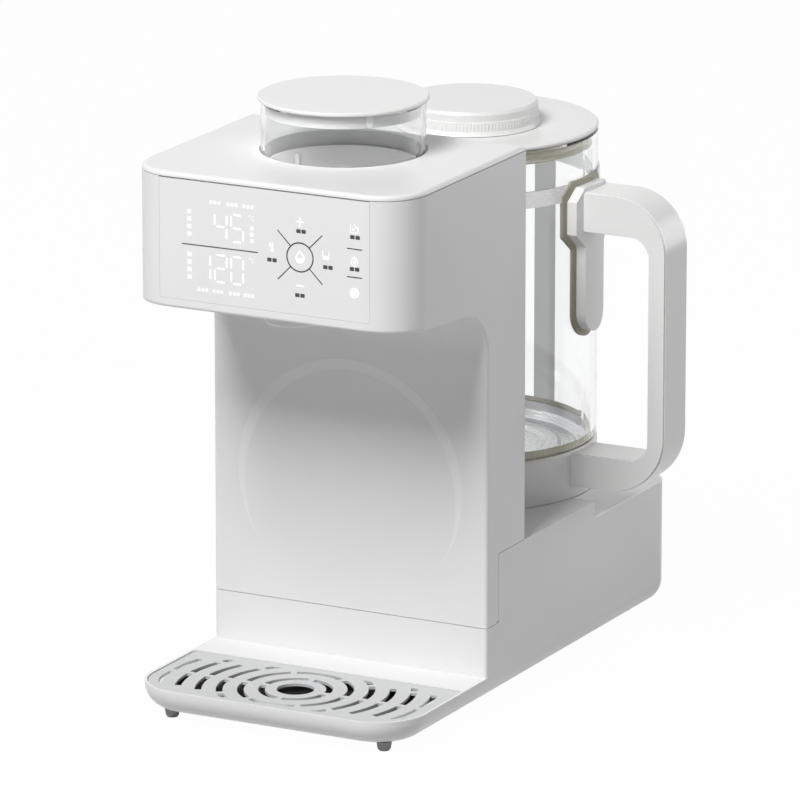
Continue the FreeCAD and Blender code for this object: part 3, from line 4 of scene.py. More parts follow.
import bmesh
import bpy
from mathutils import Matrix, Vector


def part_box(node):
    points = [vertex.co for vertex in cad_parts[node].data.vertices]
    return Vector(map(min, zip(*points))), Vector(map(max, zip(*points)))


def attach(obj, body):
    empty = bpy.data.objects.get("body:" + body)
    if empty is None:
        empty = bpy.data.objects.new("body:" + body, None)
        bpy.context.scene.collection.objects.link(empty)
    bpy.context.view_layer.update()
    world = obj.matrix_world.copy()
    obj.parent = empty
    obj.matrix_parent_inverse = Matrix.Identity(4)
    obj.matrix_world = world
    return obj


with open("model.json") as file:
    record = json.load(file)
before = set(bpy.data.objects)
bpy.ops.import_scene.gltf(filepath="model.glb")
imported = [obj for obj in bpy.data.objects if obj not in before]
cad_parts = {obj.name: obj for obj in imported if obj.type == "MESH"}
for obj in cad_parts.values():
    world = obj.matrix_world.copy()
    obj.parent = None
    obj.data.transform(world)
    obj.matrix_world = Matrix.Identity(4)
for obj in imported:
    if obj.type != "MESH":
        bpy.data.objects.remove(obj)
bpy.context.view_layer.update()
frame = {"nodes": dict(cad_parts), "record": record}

# Baby formula maker on a white floor. Metres, in the machine's own frame: the front is -Y, the
# handle points to +X. Outlines of prints are given in millimetres and scaled by MM.
MM = 0.001

# Camera
CAMERA_AZIMUTH = math.radians(27.527)
CAMERA_ELEVATION = math.radians(15.144)
CAMERA_AIM = Vector((-0.01379, -0.01862, 0.15134))
CAMERA_DISTANCE = 4.10324
CAMERA_LENS = 347.13
SENSOR = 36.0
CLIP_NEAR = 0.1
CLIP_FAR = 60.0

# Light
SKY_LEVEL = 0.18
KEY_PLACE = Vector((-0.2, -2.25, 2.8))
KEY_SIZE = 1.5
KEY_WATTS = 118.0
BACK_PLACE = Vector((0.55, 0.7, 0.32))
BACK_SIZE = 0.4
BACK_WATTS = 1.8
FLOOR_HALF = 12.0
FLOOR_GREY = 0.5
FLOOR_WHITE = 0.98

# A grey flag behind the jug that only glass and mirrors see, placed as the camera looks at it: it paints a
# dark reflection and refraction into the glass and steel
FLAG_BACK = 0.41
FLAG_LEFT = 0.0644
FLAG_RIGHT = 0.0819
FLAG_LOW = 0.02
FLAG_HIGH = 0.19
FLAG_PAINTED_REFLECTION_TONE = 0.30

# Prints on the touch panel, in millimetres from the panel's middle
PRINT_DEPTH = 0.09
PRINT_SINK = 0.05
DIGIT_STROKE = 0.85
DIGIT_ACROSS = 7.0
DIGIT_TALL = 14.3
SEGMENT_FLAT = 4.5
SEGMENT_UPRIGHT = 5.1
UPPER_ROW = 9.35
LOWER_ROW = -12.95
DIGIT_LEFT = -25.0
DIGIT_RIGHT = -15.4
DIGIT_ONE = -31.2
DIAL_CENTRE = (21.3, -1.45)
DIAL_RADIUS = 7.6
DIAL_STROKE = 0.7
SPOKE_START = 7.7
SPOKE_END = 18.3
LINE_STROKE = 0.55
KEY_COLUMN = 52.8
FIELD_LINE = (-47.8, -1.95, -3.2, -1.75)
UPPER_KEY_LINE = (48.5, 6.55, 57.2, 6.45)
LOWER_KEY_LINE = (48.5, -8.35, 57.2, -8.35)
SIGN_ARM = 2.3
SIGN_STROKE = 0.45
PLUS_HEIGHT = 17.2
PLUS_GAP = 0.2
PLUS_RISE = 2.6
MINUS_HEIGHT = -16.6
FINE_STROKE = 0.28
DROP_SINK = 0.6
DROP_RADIUS = 2.6
DROP_TIP = 4.3
DROP_INNER_RADIUS = 2.05
DROP_INNER_TIP = 3.4
WATER_RADIUS = 1.95
THERMOMETER_PLACE = (5.2, 2.0)
BEAKER_PLACE = (36.4, 1.2)
BOIL_HEIGHT = 17.1
LOCK_HEIGHT = 0.2
START_HEIGHT = -16.6
START_RING = 2.4
START_RING_STROKE = 0.4
START_DOT = 1.6
MARK_CORNER = 0.35
LABEL_PLACES = ((22.0, 12.3), (21.2, -21.6), (5.0, -4.7), (37.5, -4.9), (53.2, 12.7), (52.9, -4.1))
TOP_MARKS = (-28.2, -18.2, -8.9)
TOP_MARKS_HEIGHT = 21.7
BOTTOM_MARKS = (-35.6, -26.8, -17.1, -8.6)
BOTTOM_MARKS_HEIGHT = -25.4
LEFT_MARKS = -43.4
LEFT_MARKS_UPPER = 15.6
LEFT_MARKS_LOWER = -7.2
LEFT_MARKS_PITCH = 4.0
RIGHT_MARKS = -6.7
RIGHT_MARKS_HEIGHT = 10.6
RIGHT_MARKS_PITCH = 3.4
UNIT_RING = -8.0
UNIT_ARC = -6.0
UNIT_UPPER_RISE = 6.6
UNIT_LOWER_RISE = 6.4

# Ring on the tower's front, whose paler white is a painted highlight
HALO_RADIUS = 66.9
HALO_WIDTH = 6.3
HALO_HEIGHT = 0.1166
HALO_PROUD = 0.00012
HALO_SINK = 0.00002
HALO_STEPS = 150
HALO_START = math.radians(-38)
HALO_END = math.radians(218)
HALO_FADE = 0.28
HALO_LEAST = 0.05
HALO_EDGE = 0.2

# Knob ribs
RIB_COUNT = 120
RIB_PROUD = 0.00022
RIB_FOOT = 0.0026
RIB_HEIGHT = 0.0045
RIB_END = 0.0005
RIB_INSET = 0.001
RIB_DROP = 0.0007
RIB_SHARE = 0.62
RIB_ROOT = 0.0004
RIB_SINK = 0.00006

# Lugs on the hopper lid's skirt
LUG_COUNT = 3
LUG_START = -43
LUG_OUTLINE = ((-0.0017, 0.0), (0.0017, 0.0), (0.0017, -0.0056), (0.0007, -0.0064), (-0.0007, -0.0064),
               (-0.0017, -0.0056))
LUG_SINK = 0.0006
LUG_PROUD = 0.0003
LUG_DROP = 0.0003

# Share of a noise's range that is spread over a material's tones
NOISE_LOW = 0.3
NOISE_HIGH = 0.7


# Materials


def new_material(name):
    material = bpy.data.materials.new(name)
    material.use_nodes = True
    tree = material.node_tree
    tree.nodes.clear()
    output = tree.nodes.new("ShaderNodeOutputMaterial")
    shader = tree.nodes.new("ShaderNodeBsdfPrincipled")
    tree.links.new(shader.outputs["BSDF"], output.inputs["Surface"])
    return material, tree, shader


def object_noise(tree, scale, detail=3.0, stretch=(1.0, 1.0, 1.0)):
    """Noise fixed to the piece, so that it moves with it."""
    place = tree.nodes.new("ShaderNodeTexCoord")
    mapping = tree.nodes.new("ShaderNodeMapping")
    mapping.inputs["Scale"].default_value = stretch
    noise = tree.nodes.new("ShaderNodeTexNoise")
    noise.inputs["Scale"].default_value = scale
    noise.inputs["Detail"].default_value = detail
    tree.links.new(place.outputs["Object"], mapping.inputs["Vector"])
    tree.links.new(mapping.outputs["Vector"], noise.inputs["Vector"])
    return noise.outputs["Fac"]


def spread(tree, value, low, high):
    """Maps a noise to the span between two numbers."""
    scale = tree.nodes.new("ShaderNodeMapRange")
    scale.inputs["From Min"].default_value = NOISE_LOW
    scale.inputs["From Max"].default_value = NOISE_HIGH
    scale.inputs["To Min"].default_value = low
    scale.inputs["To Max"].default_value = high
    tree.links.new(value, scale.inputs["Value"])
    return scale.outputs["Result"]


def tint(tree, shader, value, low, high):
    """Colours the shader between two near colours."""
    ramp = tree.nodes.new("ShaderNodeValToRGB")
    ramp.color_ramp.elements[0].position = NOISE_LOW
    ramp.color_ramp.elements[1].position = NOISE_HIGH
    ramp.color_ramp.elements[0].color = (*low, 1.0)
    ramp.color_ramp.elements[1].color = (*high, 1.0)
    tree.links.new(value, ramp.inputs["Fac"])
    tree.links.new(ramp.outputs["Color"], shader.inputs["Base Color"])


def relief(tree, shader, value, distance, strength):
    bump = tree.nodes.new("ShaderNodeBump")
    bump.inputs["Distance"].default_value = distance
    bump.inputs["Strength"].default_value = strength
    tree.links.new(value, bump.inputs["Height"])
    tree.links.new(bump.outputs["Normal"], shader.inputs["Normal"])


def shade(colour, change):
    return tuple(min(1.0, max(0.0, part + change)) for part in colour)


def moulded(name, colour, roughness, grain=1500.0, depth=0.00003, tone=0.008, wear=0.03, sheen=0.0):
    """Moulded plastic or rubber: a fine spark grain, a slow drift of tone, an uneven gloss."""
    material, tree, shader = new_material(name)
    cloud = object_noise(tree, 14.0)
    tint(tree, shader, cloud, shade(colour, -tone), shade(colour, tone))
    tree.links.new(spread(tree, cloud, roughness - wear, roughness + wear), shader.inputs["Roughness"])
    relief(tree, shader, object_noise(tree, grain, 2.0), depth, 0.35)
    shader.inputs["Specular IOR Level"].default_value = 0.4
    shader.inputs["Coat Weight"].default_value = sheen
    shader.inputs["Coat Roughness"].default_value = 0.12
    return material


def clear(name, colour, roughness, index):
    """Glass or clear plastic with faint handling haze."""
    material, tree, shader = new_material(name)
    shader.inputs["Base Color"].default_value = (*colour, 1.0)
    shader.inputs["Transmission Weight"].default_value = 1.0
    shader.inputs["IOR"].default_value = index
    haze = object_noise(tree, 26.0)
    tree.links.new(spread(tree, haze, roughness, roughness + 0.015), shader.inputs["Roughness"])
    return material


def metal(name, colour, roughness, stretch, scale):
    """Bare metal with the fine lines that turning or brushing leaves."""
    material, tree, shader = new_material(name)
    lines = object_noise(tree, scale, 4.0, stretch)
    tint(tree, shader, lines, shade(colour, -0.05), shade(colour, 0.03))
    shader.inputs["Metallic"].default_value = 1.0
    tree.links.new(spread(tree, lines, roughness - 0.05, roughness + 0.07), shader.inputs["Roughness"])
    relief(tree, shader, lines, 0.00002, 0.25)
    return material


def turned_steel(name, colour, roughness, centre):
    """Spun sheet steel: the brushing runs in circles about the dish's axis."""
    material, tree, shader = new_material(name)
    place = tree.nodes.new("ShaderNodeTexCoord")
    offset = tree.nodes.new("ShaderNodeVectorMath")
    offset.operation = "MULTIPLY_ADD"
    offset.inputs[1].default_value = (1.0, 1.0, 0.0)
    offset.inputs[2].default_value = (-centre.x, -centre.y, 0.0)
    length = tree.nodes.new("ShaderNodeVectorMath")
    length.operation = "LENGTH"
    noise = tree.nodes.new("ShaderNodeTexNoise")
    noise.noise_dimensions = "1D"
    noise.inputs["Scale"].default_value = 900.0
    noise.inputs["Detail"].default_value = 3.0
    tree.links.new(place.outputs["Object"], offset.inputs[0])
    tree.links.new(offset.outputs["Vector"], length.inputs[0])
    tree.links.new(length.outputs["Value"], noise.inputs["W"])
    tint(tree, shader, noise.outputs["Fac"], shade(colour, -0.06), shade(colour, 0.04))
    shader.inputs["Metallic"].default_value = 1.0
    tree.links.new(spread(tree, noise.outputs["Fac"], roughness - 0.05, roughness + 0.08),
                   shader.inputs["Roughness"])
    relief(tree, shader, noise.outputs["Fac"], 0.00003, 0.3)
    return material


def circuit_board(name):
    """Green solder mask with copper ways that show through it."""
    material, tree, shader = new_material(name)
    place = tree.nodes.new("ShaderNodeTexCoord")
    ways = tree.nodes.new("ShaderNodeTexVoronoi")
    ways.distance = "MANHATTAN"
    ways.inputs["Scale"].default_value = 260.0
    tree.links.new(place.outputs["Object"], ways.inputs["Vector"])
    tint(tree, shader, ways.outputs["Distance"], (0.02, 0.16, 0.06), (0.01, 0.09, 0.035))
    relief(tree, shader, ways.outputs["Distance"], 0.00005, 0.4)
    shader.inputs["Roughness"].default_value = 0.35
    return material


def lit_print(name, colour, glow):
    """White marks under the panel's skin that give off light; on the small printed marks the glow is
    painted light.
    """
    material, tree, shader = new_material(name)
    tint(tree, shader, object_noise(tree, 420.0), shade(colour, -0.03), colour)
    shader.inputs["Roughness"].default_value = 0.35
    shader.inputs["Emission Color"].default_value = (1.0, 1.0, 1.0, 1.0)
    shader.inputs["Emission Strength"].default_value = glow
    return material


dish_low, dish_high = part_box("heater_plate")
dish_centre = (dish_low + dish_high) / 2

FINISHES = {
    "white_shell": moulded("shell_white", (0.80, 0.80, 0.80), 0.36, sheen=0.10),
    "panel": moulded("panel_white", (0.80, 0.80, 0.80), 0.30, grain=2600.0, depth=0.00001, sheen=0.15),
    "white_trim": moulded("trim_white", (0.80, 0.80, 0.795), 0.33, sheen=0.08),
    "grill_grey": moulded("grill_grey_plastic", (0.60, 0.605, 0.61), 0.50, grain=900.0, depth=0.00005),
    "tray_dark": moulded("tray_dark_plastic", (0.035, 0.035, 0.037), 0.5, tone=0.004),
    "foot_rubber": moulded("foot_rubber_grey", (0.42, 0.42, 0.42), 0.8, grain=700.0, tone=0.01),
    "screw_steel": metal("steel_bright", (0.62, 0.62, 0.62), 0.22, (1.0, 1.0, 6.0), 300.0),
    "clear_cup": clear("cup_clear", (0.97, 0.975, 0.975), 0.02, 1.45),
    "jug_glass": clear("glass_clear", (0.985, 0.99, 0.99), 0.0, 1.47),
    "dish_steel": turned_steel("steel_spun", (0.60, 0.60, 0.61), 0.24, dish_centre),
    "lid_silicone": moulded("silicone_olive", (0.33, 0.32, 0.25), 0.45, grain=900.0, tone=0.015),
    "ring_grey": moulded("ring_grey_plastic", (0.55, 0.55, 0.55), 0.4),
    "inner_white": moulded("inner_white_plastic", (0.72, 0.72, 0.72), 0.42),
    "valve_grey": moulded("valve_grey_silicone", (0.42, 0.43, 0.44), 0.5),
    "board_green": circuit_board("board_green_mask"),
    "motor_metal": metal("motor_can", (0.5, 0.5, 0.5), 0.34, (1.0, 1.0, 12.0), 220.0),
    "inlet_black": moulded("inlet_black_plastic", (0.02, 0.02, 0.02), 0.42, tone=0.004),
    "pin_brass": metal("pin_brass_metal", (0.72, 0.52, 0.22), 0.25, (6.0, 1.0, 1.0), 400.0),
    "hose_clear": moulded("hose_silicone", (0.62, 0.62, 0.60), 0.35),
}
RING_SEAL = moulded("silicone_pale", (0.60, 0.60, 0.59), 0.45, grain=900.0)
PANEL_LIT = lit_print("panel_lit_white", (1.0, 1.0, 1.0), 0.30)
PANEL_DARK = moulded("panel_ink_dark", (0.06, 0.06, 0.06), 0.45, tone=0.01)
# A faint painted glow on the small printed marks, over their own pale colour
PANEL_PALE_PAINTED_GLOW = lit_print("panel_pale_mark_painted_glow", (0.93, 0.93, 0.93), 0.10)
# The ring is paler than the shell: a painted highlight
HALO_WHITE_PAINTED_HIGHLIGHT = moulded("halo_white_painted_highlight", (0.85, 0.85, 0.85), 0.30, tone=0.004, sheen=0.10)


def dress_cad():
    """Gives each carried-over part the finish that its material slot names."""
    slots = {part["node"]: part["material_slot"] for part in frame["record"]["subparts"]}
    for name, part in frame["nodes"].items():
        for slot in part.material_slots:
            slot.material = RING_SEAL if name == "lid_ring_seal" else FINISHES[slots[name]]
    # Clear walls cast no shadow, so that the light reaches what they hold
    for name in ("hopper_cup", "jug_glass"):
        frame["nodes"][name].visible_shadow = False


# Outlines in millimetres, counted across and up


def bar(u0, v0, u1, v1, width):
    """A straight stroke between two points."""
    run = math.hypot(u1 - u0, v1 - v0)
    across = (-(v1 - v0) / run * width / 2, (u1 - u0) / run * width / 2)
    return [(u0 - across[0], v0 - across[1]), (u1 - across[0], v1 - across[1]),
            (u1 + across[0], v1 + across[1]), (u0 + across[0], v0 + across[1])]


def disc(u, v, radius, steps=32):
    return [(u + radius * math.cos(2 * math.pi * k / steps), v + radius * math.sin(2 * math.pi * k / steps))
            for k in range(steps)]


def between(outer, inner, closed=True):
    """Quads that fill the band between two outlines with as many points."""
    count = len(outer) if closed else len(outer) - 1
    quads = []
    for k in range(count):
        after = (k + 1) % len(outer)
        quads.append([outer[k], outer[after], inner[after], inner[k]])
    return quads


def circle_line(u, v, radius, width, steps=48):
    return between(disc(u, v, radius + width / 2, steps), disc(u, v, radius - width / 2, steps))


def arc_line(u, v, radius, width, start, end, steps=16):
    angles = [math.radians(start + (end - start) * k / steps) for k in range(steps + 1)]

    def points(r):
        return [(u + r * math.cos(angle), v + r * math.sin(angle)) for angle in angles]

    return between(points(radius + width / 2), points(radius - width / 2), closed=False)


def rounded_square(u, v, wide, tall, corner, steps=4):
    points = []
    for index, (su, sv) in enumerate(((1, 1), (-1, 1), (-1, -1), (1, -1))):
        for k in range(steps + 1):
            angle = math.radians(90 * index + 90 * k / steps)
            points.append((u + su * (wide / 2 - corner) + corner * math.cos(angle),
                           v + sv * (tall / 2 - corner) + corner * math.sin(angle)))
    return points


def row_of_marks(u, v, count, wide, tall, pitch):
    """A generic run of small marks where a label would stand."""
    first = u - pitch * (count - 1) / 2
    return [rounded_square(first + pitch * k, v, wide, tall, MARK_CORNER) for k in range(count)]


SEGMENTS = {"0": "abcdef", "1": "bc", "2": "abged", "4": "fgbc", "5": "afgcd"}


def digit(u, v, figure):
    """A seven segment figure."""
    half_tall = DIGIT_TALL / 2
    half_across = DIGIT_ACROSS / 2
    flat = SEGMENT_FLAT / 2
    upright = SEGMENT_UPRIGHT / 2
    places = {
        "a": (-flat, half_tall, flat, half_tall),
        "g": (-flat, 0, flat, 0),
        "d": (-flat, -half_tall, flat, -half_tall),
        "f": (-half_across, half_tall / 2 + upright, -half_across, half_tall / 2 - upright),
        "b": (half_across, half_tall / 2 + upright, half_across, half_tall / 2 - upright),
        "e": (-half_across, -half_tall / 2 + upright, -half_across, -half_tall / 2 - upright),
        "c": (half_across, -half_tall / 2 + upright, half_across, -half_tall / 2 - upright),
    }
    strokes = []
    for segment in SEGMENTS[figure]:
        u0, v0, u1, v1 = places[segment]
        strokes.append(bar(u + u0, v + v0, u + u1, v + v1, DIGIT_STROKE))
    return strokes


def drop_outline(u, v, radius, apex, steps=24):
    """A drop: a circle with two straight sides that meet at its tip."""
    lean = math.asin(radius / apex)
    start, end = lean, math.pi - lean
    points = [(u, v + apex)]
    for k in range(steps + 1):
        angle = end + (2 * math.pi - (end - start)) * k / steps
        points.append((u + radius * math.cos(angle), v + radius * math.sin(angle)))
    return points


# Pieces


def finish_piece(name, mesh, material, body, smooth=False):
    bmesh.ops.recalc_face_normals(mesh, faces=mesh.faces)
    data = bpy.data.meshes.new(name)
    mesh.to_mesh(data)
    mesh.free()
    for face in data.polygons:
        face.use_smooth = smooth
    data.materials.append(material)
    piece = bpy.data.objects.new(name, data)
    bpy.context.scene.collection.objects.link(piece)
    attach(piece, body)
    return piece


def print_on(name, outlines, middle, face_y, material):
    """A thin print on a face that looks to the front."""
    mesh = bmesh.new()
    for outline in outlines:
        front, back = [], []
        for u, v in outline:
            x, z = middle.x + u * MM, middle.z + v * MM
            front.append(mesh.verts.new((x, face_y - PRINT_DEPTH * MM, z)))
            back.append(mesh.verts.new((x, face_y + PRINT_SINK * MM, z)))
        mesh.faces.new(front)
        mesh.faces.new(list(reversed(back)))
        for k in range(len(front)):
            after = (k + 1) % len(front)
            mesh.faces.new([front[after], front[k], back[k], back[after]])
    return finish_piece(name, mesh, material, "machine")


def panel_prints():
    low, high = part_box("control_panel")
    middle = (low + high) / 2
    face_y = low.y
    digits = digit(DIGIT_LEFT, UPPER_ROW, "4") + digit(DIGIT_RIGHT, UPPER_ROW, "5")
    digits += digit(DIGIT_ONE - DIGIT_ACROSS / 2, LOWER_ROW, "1")
    digits += digit(DIGIT_LEFT, LOWER_ROW, "2") + digit(DIGIT_RIGHT, LOWER_ROW, "0")
    print_on("panel_digits", digits, middle, face_y, PANEL_LIT)

    u, v = DIAL_CENTRE
    lines = circle_line(u, v, DIAL_RADIUS, DIAL_STROKE)
    for side, rise in ((1, 1), (-1, 1), (-1, -1), (1, -1)):
        k = math.sqrt(0.5)
        lines.append(bar(u + side * SPOKE_START * k, v + rise * SPOKE_START * k,
                         u + side * SPOKE_END * k, v + rise * SPOKE_END * k, LINE_STROKE))
    lines.append(bar(*FIELD_LINE, LINE_STROKE))
    lines.append(bar(*UPPER_KEY_LINE, LINE_STROKE))
    lines.append(bar(*LOWER_KEY_LINE, LINE_STROKE))
    print_on("panel_lines", lines, middle, face_y, PANEL_DARK)

    icons = [bar(u - SIGN_ARM, PLUS_HEIGHT, u + SIGN_ARM, PLUS_HEIGHT, SIGN_STROKE),
             bar(u, PLUS_HEIGHT - PLUS_RISE, u, PLUS_HEIGHT - PLUS_GAP, SIGN_STROKE),
             bar(u, PLUS_HEIGHT + PLUS_GAP, u, PLUS_HEIGHT + PLUS_RISE, SIGN_STROKE),
             bar(u - SIGN_ARM, MINUS_HEIGHT, u + SIGN_ARM, MINUS_HEIGHT, SIGN_STROKE)]
    water = v - DROP_SINK
    icons += between(drop_outline(u, water, DROP_RADIUS, DROP_TIP),
                     drop_outline(u, water, DROP_INNER_RADIUS, DROP_INNER_TIP))
    icons.append([(u + WATER_RADIUS * math.cos(math.radians(180 + a)),
                   water + WATER_RADIUS * math.sin(math.radians(180 + a))) for a in range(0, 181, 12)])
    icons += thermometer(*THERMOMETER_PLACE) + beaker(*BEAKER_PLACE)
    icons += boil_sign(KEY_COLUMN, BOIL_HEIGHT) + lock_sign(KEY_COLUMN, LOCK_HEIGHT)
    icons += circle_line(KEY_COLUMN, START_HEIGHT, START_RING, START_RING_STROKE)
    icons.append(disc(KEY_COLUMN, START_HEIGHT, START_DOT))
    print_on("panel_icons", icons, middle, face_y, PANEL_LIT)

    labels = []
    for across, up in LABEL_PLACES:
        labels += row_of_marks(across, up, 2, 2.5, 2.0, 3.0)
    print_on("panel_labels", labels, middle, face_y, PANEL_DARK)

    # Small printed marks, pale in colour and with a faint painted glow
    pale_marks_painted_glow = []
    for across in TOP_MARKS:
        pale_marks_painted_glow += row_of_marks(across, TOP_MARKS_HEIGHT, 3, 1.9, 2.0, 2.4)
    for across in BOTTOM_MARKS:
        pale_marks_painted_glow += row_of_marks(across, BOTTOM_MARKS_HEIGHT, 3, 1.8, 2.0, 2.3)
    for row in range(4):
        for first in (LEFT_MARKS_UPPER, LEFT_MARKS_LOWER):
            pale_marks_painted_glow += row_of_marks(LEFT_MARKS, first - LEFT_MARKS_PITCH * row, 1, 2.6, 2.4, 3.0)
    for row in range(3):
        pale_marks_painted_glow += row_of_marks(RIGHT_MARKS, RIGHT_MARKS_HEIGHT - RIGHT_MARKS_PITCH * row, 1, 2.2, 2.2, 3.0)
    for up in (UPPER_ROW + UNIT_UPPER_RISE, LOWER_ROW + UNIT_LOWER_RISE):
        pale_marks_painted_glow += circle_line(UNIT_RING, up + 0.9, 0.45, 0.25, 16)
        pale_marks_painted_glow += arc_line(UNIT_ARC, up, 1.0, 0.35, 50, 310)
    print_on("panel_small_marks", pale_marks_painted_glow, middle, face_y, PANEL_PALE_PAINTED_GLOW)


def thermometer(u, v):
    strokes = [bar(u, v - 0.6, u, v + 2.4, 0.6), disc(u, v - 1.5, 0.95, 20)]
    for step in range(3):
        strokes.append(bar(u - 1.9, v + 0.5 + 0.8 * step, u - 1.0, v + 0.5 + 0.8 * step, 0.3))
    return strokes


def beaker(u, v):
    return [bar(u - 1.9, v + 2.4, u - 1.6, v - 2.0, FINE_STROKE),
            bar(u + 1.9, v + 2.4, u + 1.6, v - 2.0, FINE_STROKE),
            [(u - 1.5, v - 2.2), (u + 1.5, v - 2.2), (u + 1.6, v - 0.5), (u - 1.6, v - 0.5)]]


def boil_sign(u, v):
    return [bar(u - 2.2, v + 2.2, u - 2.2, v - 2.2, FINE_STROKE),
            bar(u - 2.0, v - 2.2, u + 2.0, v - 2.2, FINE_STROKE),
            bar(u + 2.2, v - 2.2, u + 2.2, v + 1.0, FINE_STROKE), disc(u - 0.6, v - 0.4, 0.6, 16),
            disc(u + 0.9, v + 0.8, 0.5, 16), disc(u + 0.2, v + 2.1, 0.35, 16)]


def lock_sign(u, v):
    body = circle_line(u, v - 0.8, 1.9, FINE_STROKE, 28)
    keyhole = disc(u, v - 0.8, 0.8, 16)
    return body + [keyhole] + arc_line(u, v + 1.0, 1.1, 0.35, 0, 180)


def tower_halo():
    """A raised ring on the tower's front, paler than the shell as a painted highlight, which narrows to
    nothing low down, following that highlight.
    """
    tower_low, tower_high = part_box("tower_shell")
    housing_low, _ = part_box("lower_housing")
    middle = Vector(((tower_low.x + tower_high.x) / 2, 0.0, HALO_HEIGHT))
    face_y = housing_low.y
    mesh = bmesh.new()
    rows = []
    for k in range(HALO_STEPS + 1):
        share = k / HALO_STEPS
        angle = HALO_START + (HALO_END - HALO_START) * share
        fade = min(1.0, min(share, 1 - share) / HALO_FADE)
        width = max(HALO_LEAST, HALO_WIDTH * math.sin(fade * math.pi / 2) ** 1.3)
        proud = HALO_PROUD * fade + 0.00001
        row = []
        for radius, depth in ((HALO_RADIUS, -HALO_SINK), (HALO_RADIUS - HALO_EDGE * fade, proud),
                              (HALO_RADIUS - width + HALO_EDGE * fade, proud),
                              (HALO_RADIUS - width, -HALO_SINK)):
            row.append(mesh.verts.new((middle.x + radius * MM * math.cos(angle), face_y - depth,
                                       middle.z + radius * MM * math.sin(angle))))
        rows.append(row)
    for row, after in zip(rows, rows[1:]):
        for k in range(4):
            nxt = (k + 1) % 4
            mesh.faces.new([row[k], row[nxt], after[nxt], after[k]])
    mesh.faces.new(rows[0])
    mesh.faces.new(list(reversed(rows[-1])))
    finish_piece("tower_halo", mesh, HALO_WHITE_PAINTED_HIGHLIGHT, "machine", smooth=False)


def knob_ribs():
    """The fine grip ribs round the vent knob."""
    low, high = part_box("lid_knob")
    centre = (low + high) / 2
    radius = (high.x - low.x) / 2 - RIB_INSET
    _, lid_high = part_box("jug_lid")
    foot = lid_high.z + RIB_FOOT - RIB_DROP
    mesh = bmesh.new()
    half = math.pi * radius / RIB_COUNT * RIB_SHARE
    for index in range(RIB_COUNT):
        angle = 2 * math.pi * index / RIB_COUNT
        out = Vector((math.cos(angle), math.sin(angle), 0))
        side = Vector((-math.sin(angle), math.cos(angle), 0))
        rings = []
        for height, swell in ((0.0, 0.15), (RIB_END, 1.0), (RIB_HEIGHT - RIB_END, 1.0), (RIB_HEIGHT, 0.15)):
            ring = []
            for turn in (-1.0, -0.55, 0.0, 0.55, 1.0):
                lift = RIB_PROUD * swell * math.cos(turn * math.pi / 2) - RIB_SINK
                place = centre + out * (radius + lift) + side * (half * turn)
                ring.append(mesh.verts.new((place.x, place.y, foot + height)))
            back = centre + out * (radius - RIB_ROOT)
            ring.append(mesh.verts.new((back.x, back.y, foot + height)))
            rings.append(ring)
        for below, above in zip(rings, rings[1:]):
            for k in range(len(below)):
                nxt = (k + 1) % len(below)
                mesh.faces.new([below[k], below[nxt], above[nxt], above[k]])
        mesh.faces.new(list(reversed(rings[0])))
        mesh.faces.new(rings[-1])
    finish_piece("knob_grip_ribs", mesh, FINISHES["white_trim"], "knob", smooth=True)


def ring_lugs():
    """Three small bayonet lugs on the hopper lid's skirt."""
    low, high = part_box("lid_ring")
    centre = (low + high) / 2
    radius = (high.x - low.x) / 2
    mesh = bmesh.new()
    for index in range(LUG_COUNT):
        angle = math.radians(LUG_START + 360 / LUG_COUNT * index)
        out = Vector((math.cos(angle), math.sin(angle), 0))
        side = Vector((-math.sin(angle), math.cos(angle), 0))
        faces = []
        for depth in (-LUG_SINK, LUG_PROUD):
            faces.append([mesh.verts.new((centre + out * (radius + depth) + side * across).to_tuple()[:2]
                                         + (high.z + rise - LUG_DROP,)) for across, rise in LUG_OUTLINE])
        mesh.faces.new(faces[1])
        mesh.faces.new(list(reversed(faces[0])))
        for k in range(len(LUG_OUTLINE)):
            nxt = (k + 1) % len(LUG_OUTLINE)
            mesh.faces.new([faces[0][k], faces[0][nxt], faces[1][nxt], faces[1][k]])
    finish_piece("lid_ring_lugs", mesh, FINISHES["inner_white"], "hopper_cap")


def smooth_cad():
    """Lets the curved faces of the carried-over parts shade smoothly."""
    for part in frame["nodes"].values():
        for face in part.data.polygons:
            face.use_smooth = True


# Stage


def camera():
    data = bpy.data.cameras.new("camera")
    data.lens = CAMERA_LENS
    data.sensor_width = SENSOR
    data.clip_start = CLIP_NEAR
    data.clip_end = CLIP_FAR
    view = bpy.data.objects.new("camera", data)
    bpy.context.scene.collection.objects.link(view)
    back = Vector((math.sin(CAMERA_AZIMUTH) * math.cos(CAMERA_ELEVATION),
                   -math.cos(CAMERA_AZIMUTH) * math.cos(CAMERA_ELEVATION), math.sin(CAMERA_ELEVATION)))
    view.location = CAMERA_AIM + back * CAMERA_DISTANCE
    view.rotation_mode = "QUATERNION"
    view.rotation_quaternion = (-back).to_track_quat("-Z", "Y")
    bpy.context.scene.camera = view


def seen_directly(tree):
    """1 where the ray comes from the camera, a mirror or glass, else 0."""
    path = tree.nodes.new("ShaderNodeLightPath")
    first = tree.nodes.new("ShaderNodeMath")
    first.operation = "MAXIMUM"
    tree.links.new(path.outputs["Is Camera Ray"], first.inputs[0])
    tree.links.new(path.outputs["Is Glossy Ray"], first.inputs[1])
    second = tree.nodes.new("ShaderNodeMath")
    second.operation = "MAXIMUM"
    tree.links.new(first.outputs["Value"], second.inputs[0])
    tree.links.new(path.outputs["Is Transmission Ray"], second.inputs[1])
    return second.outputs["Value"]


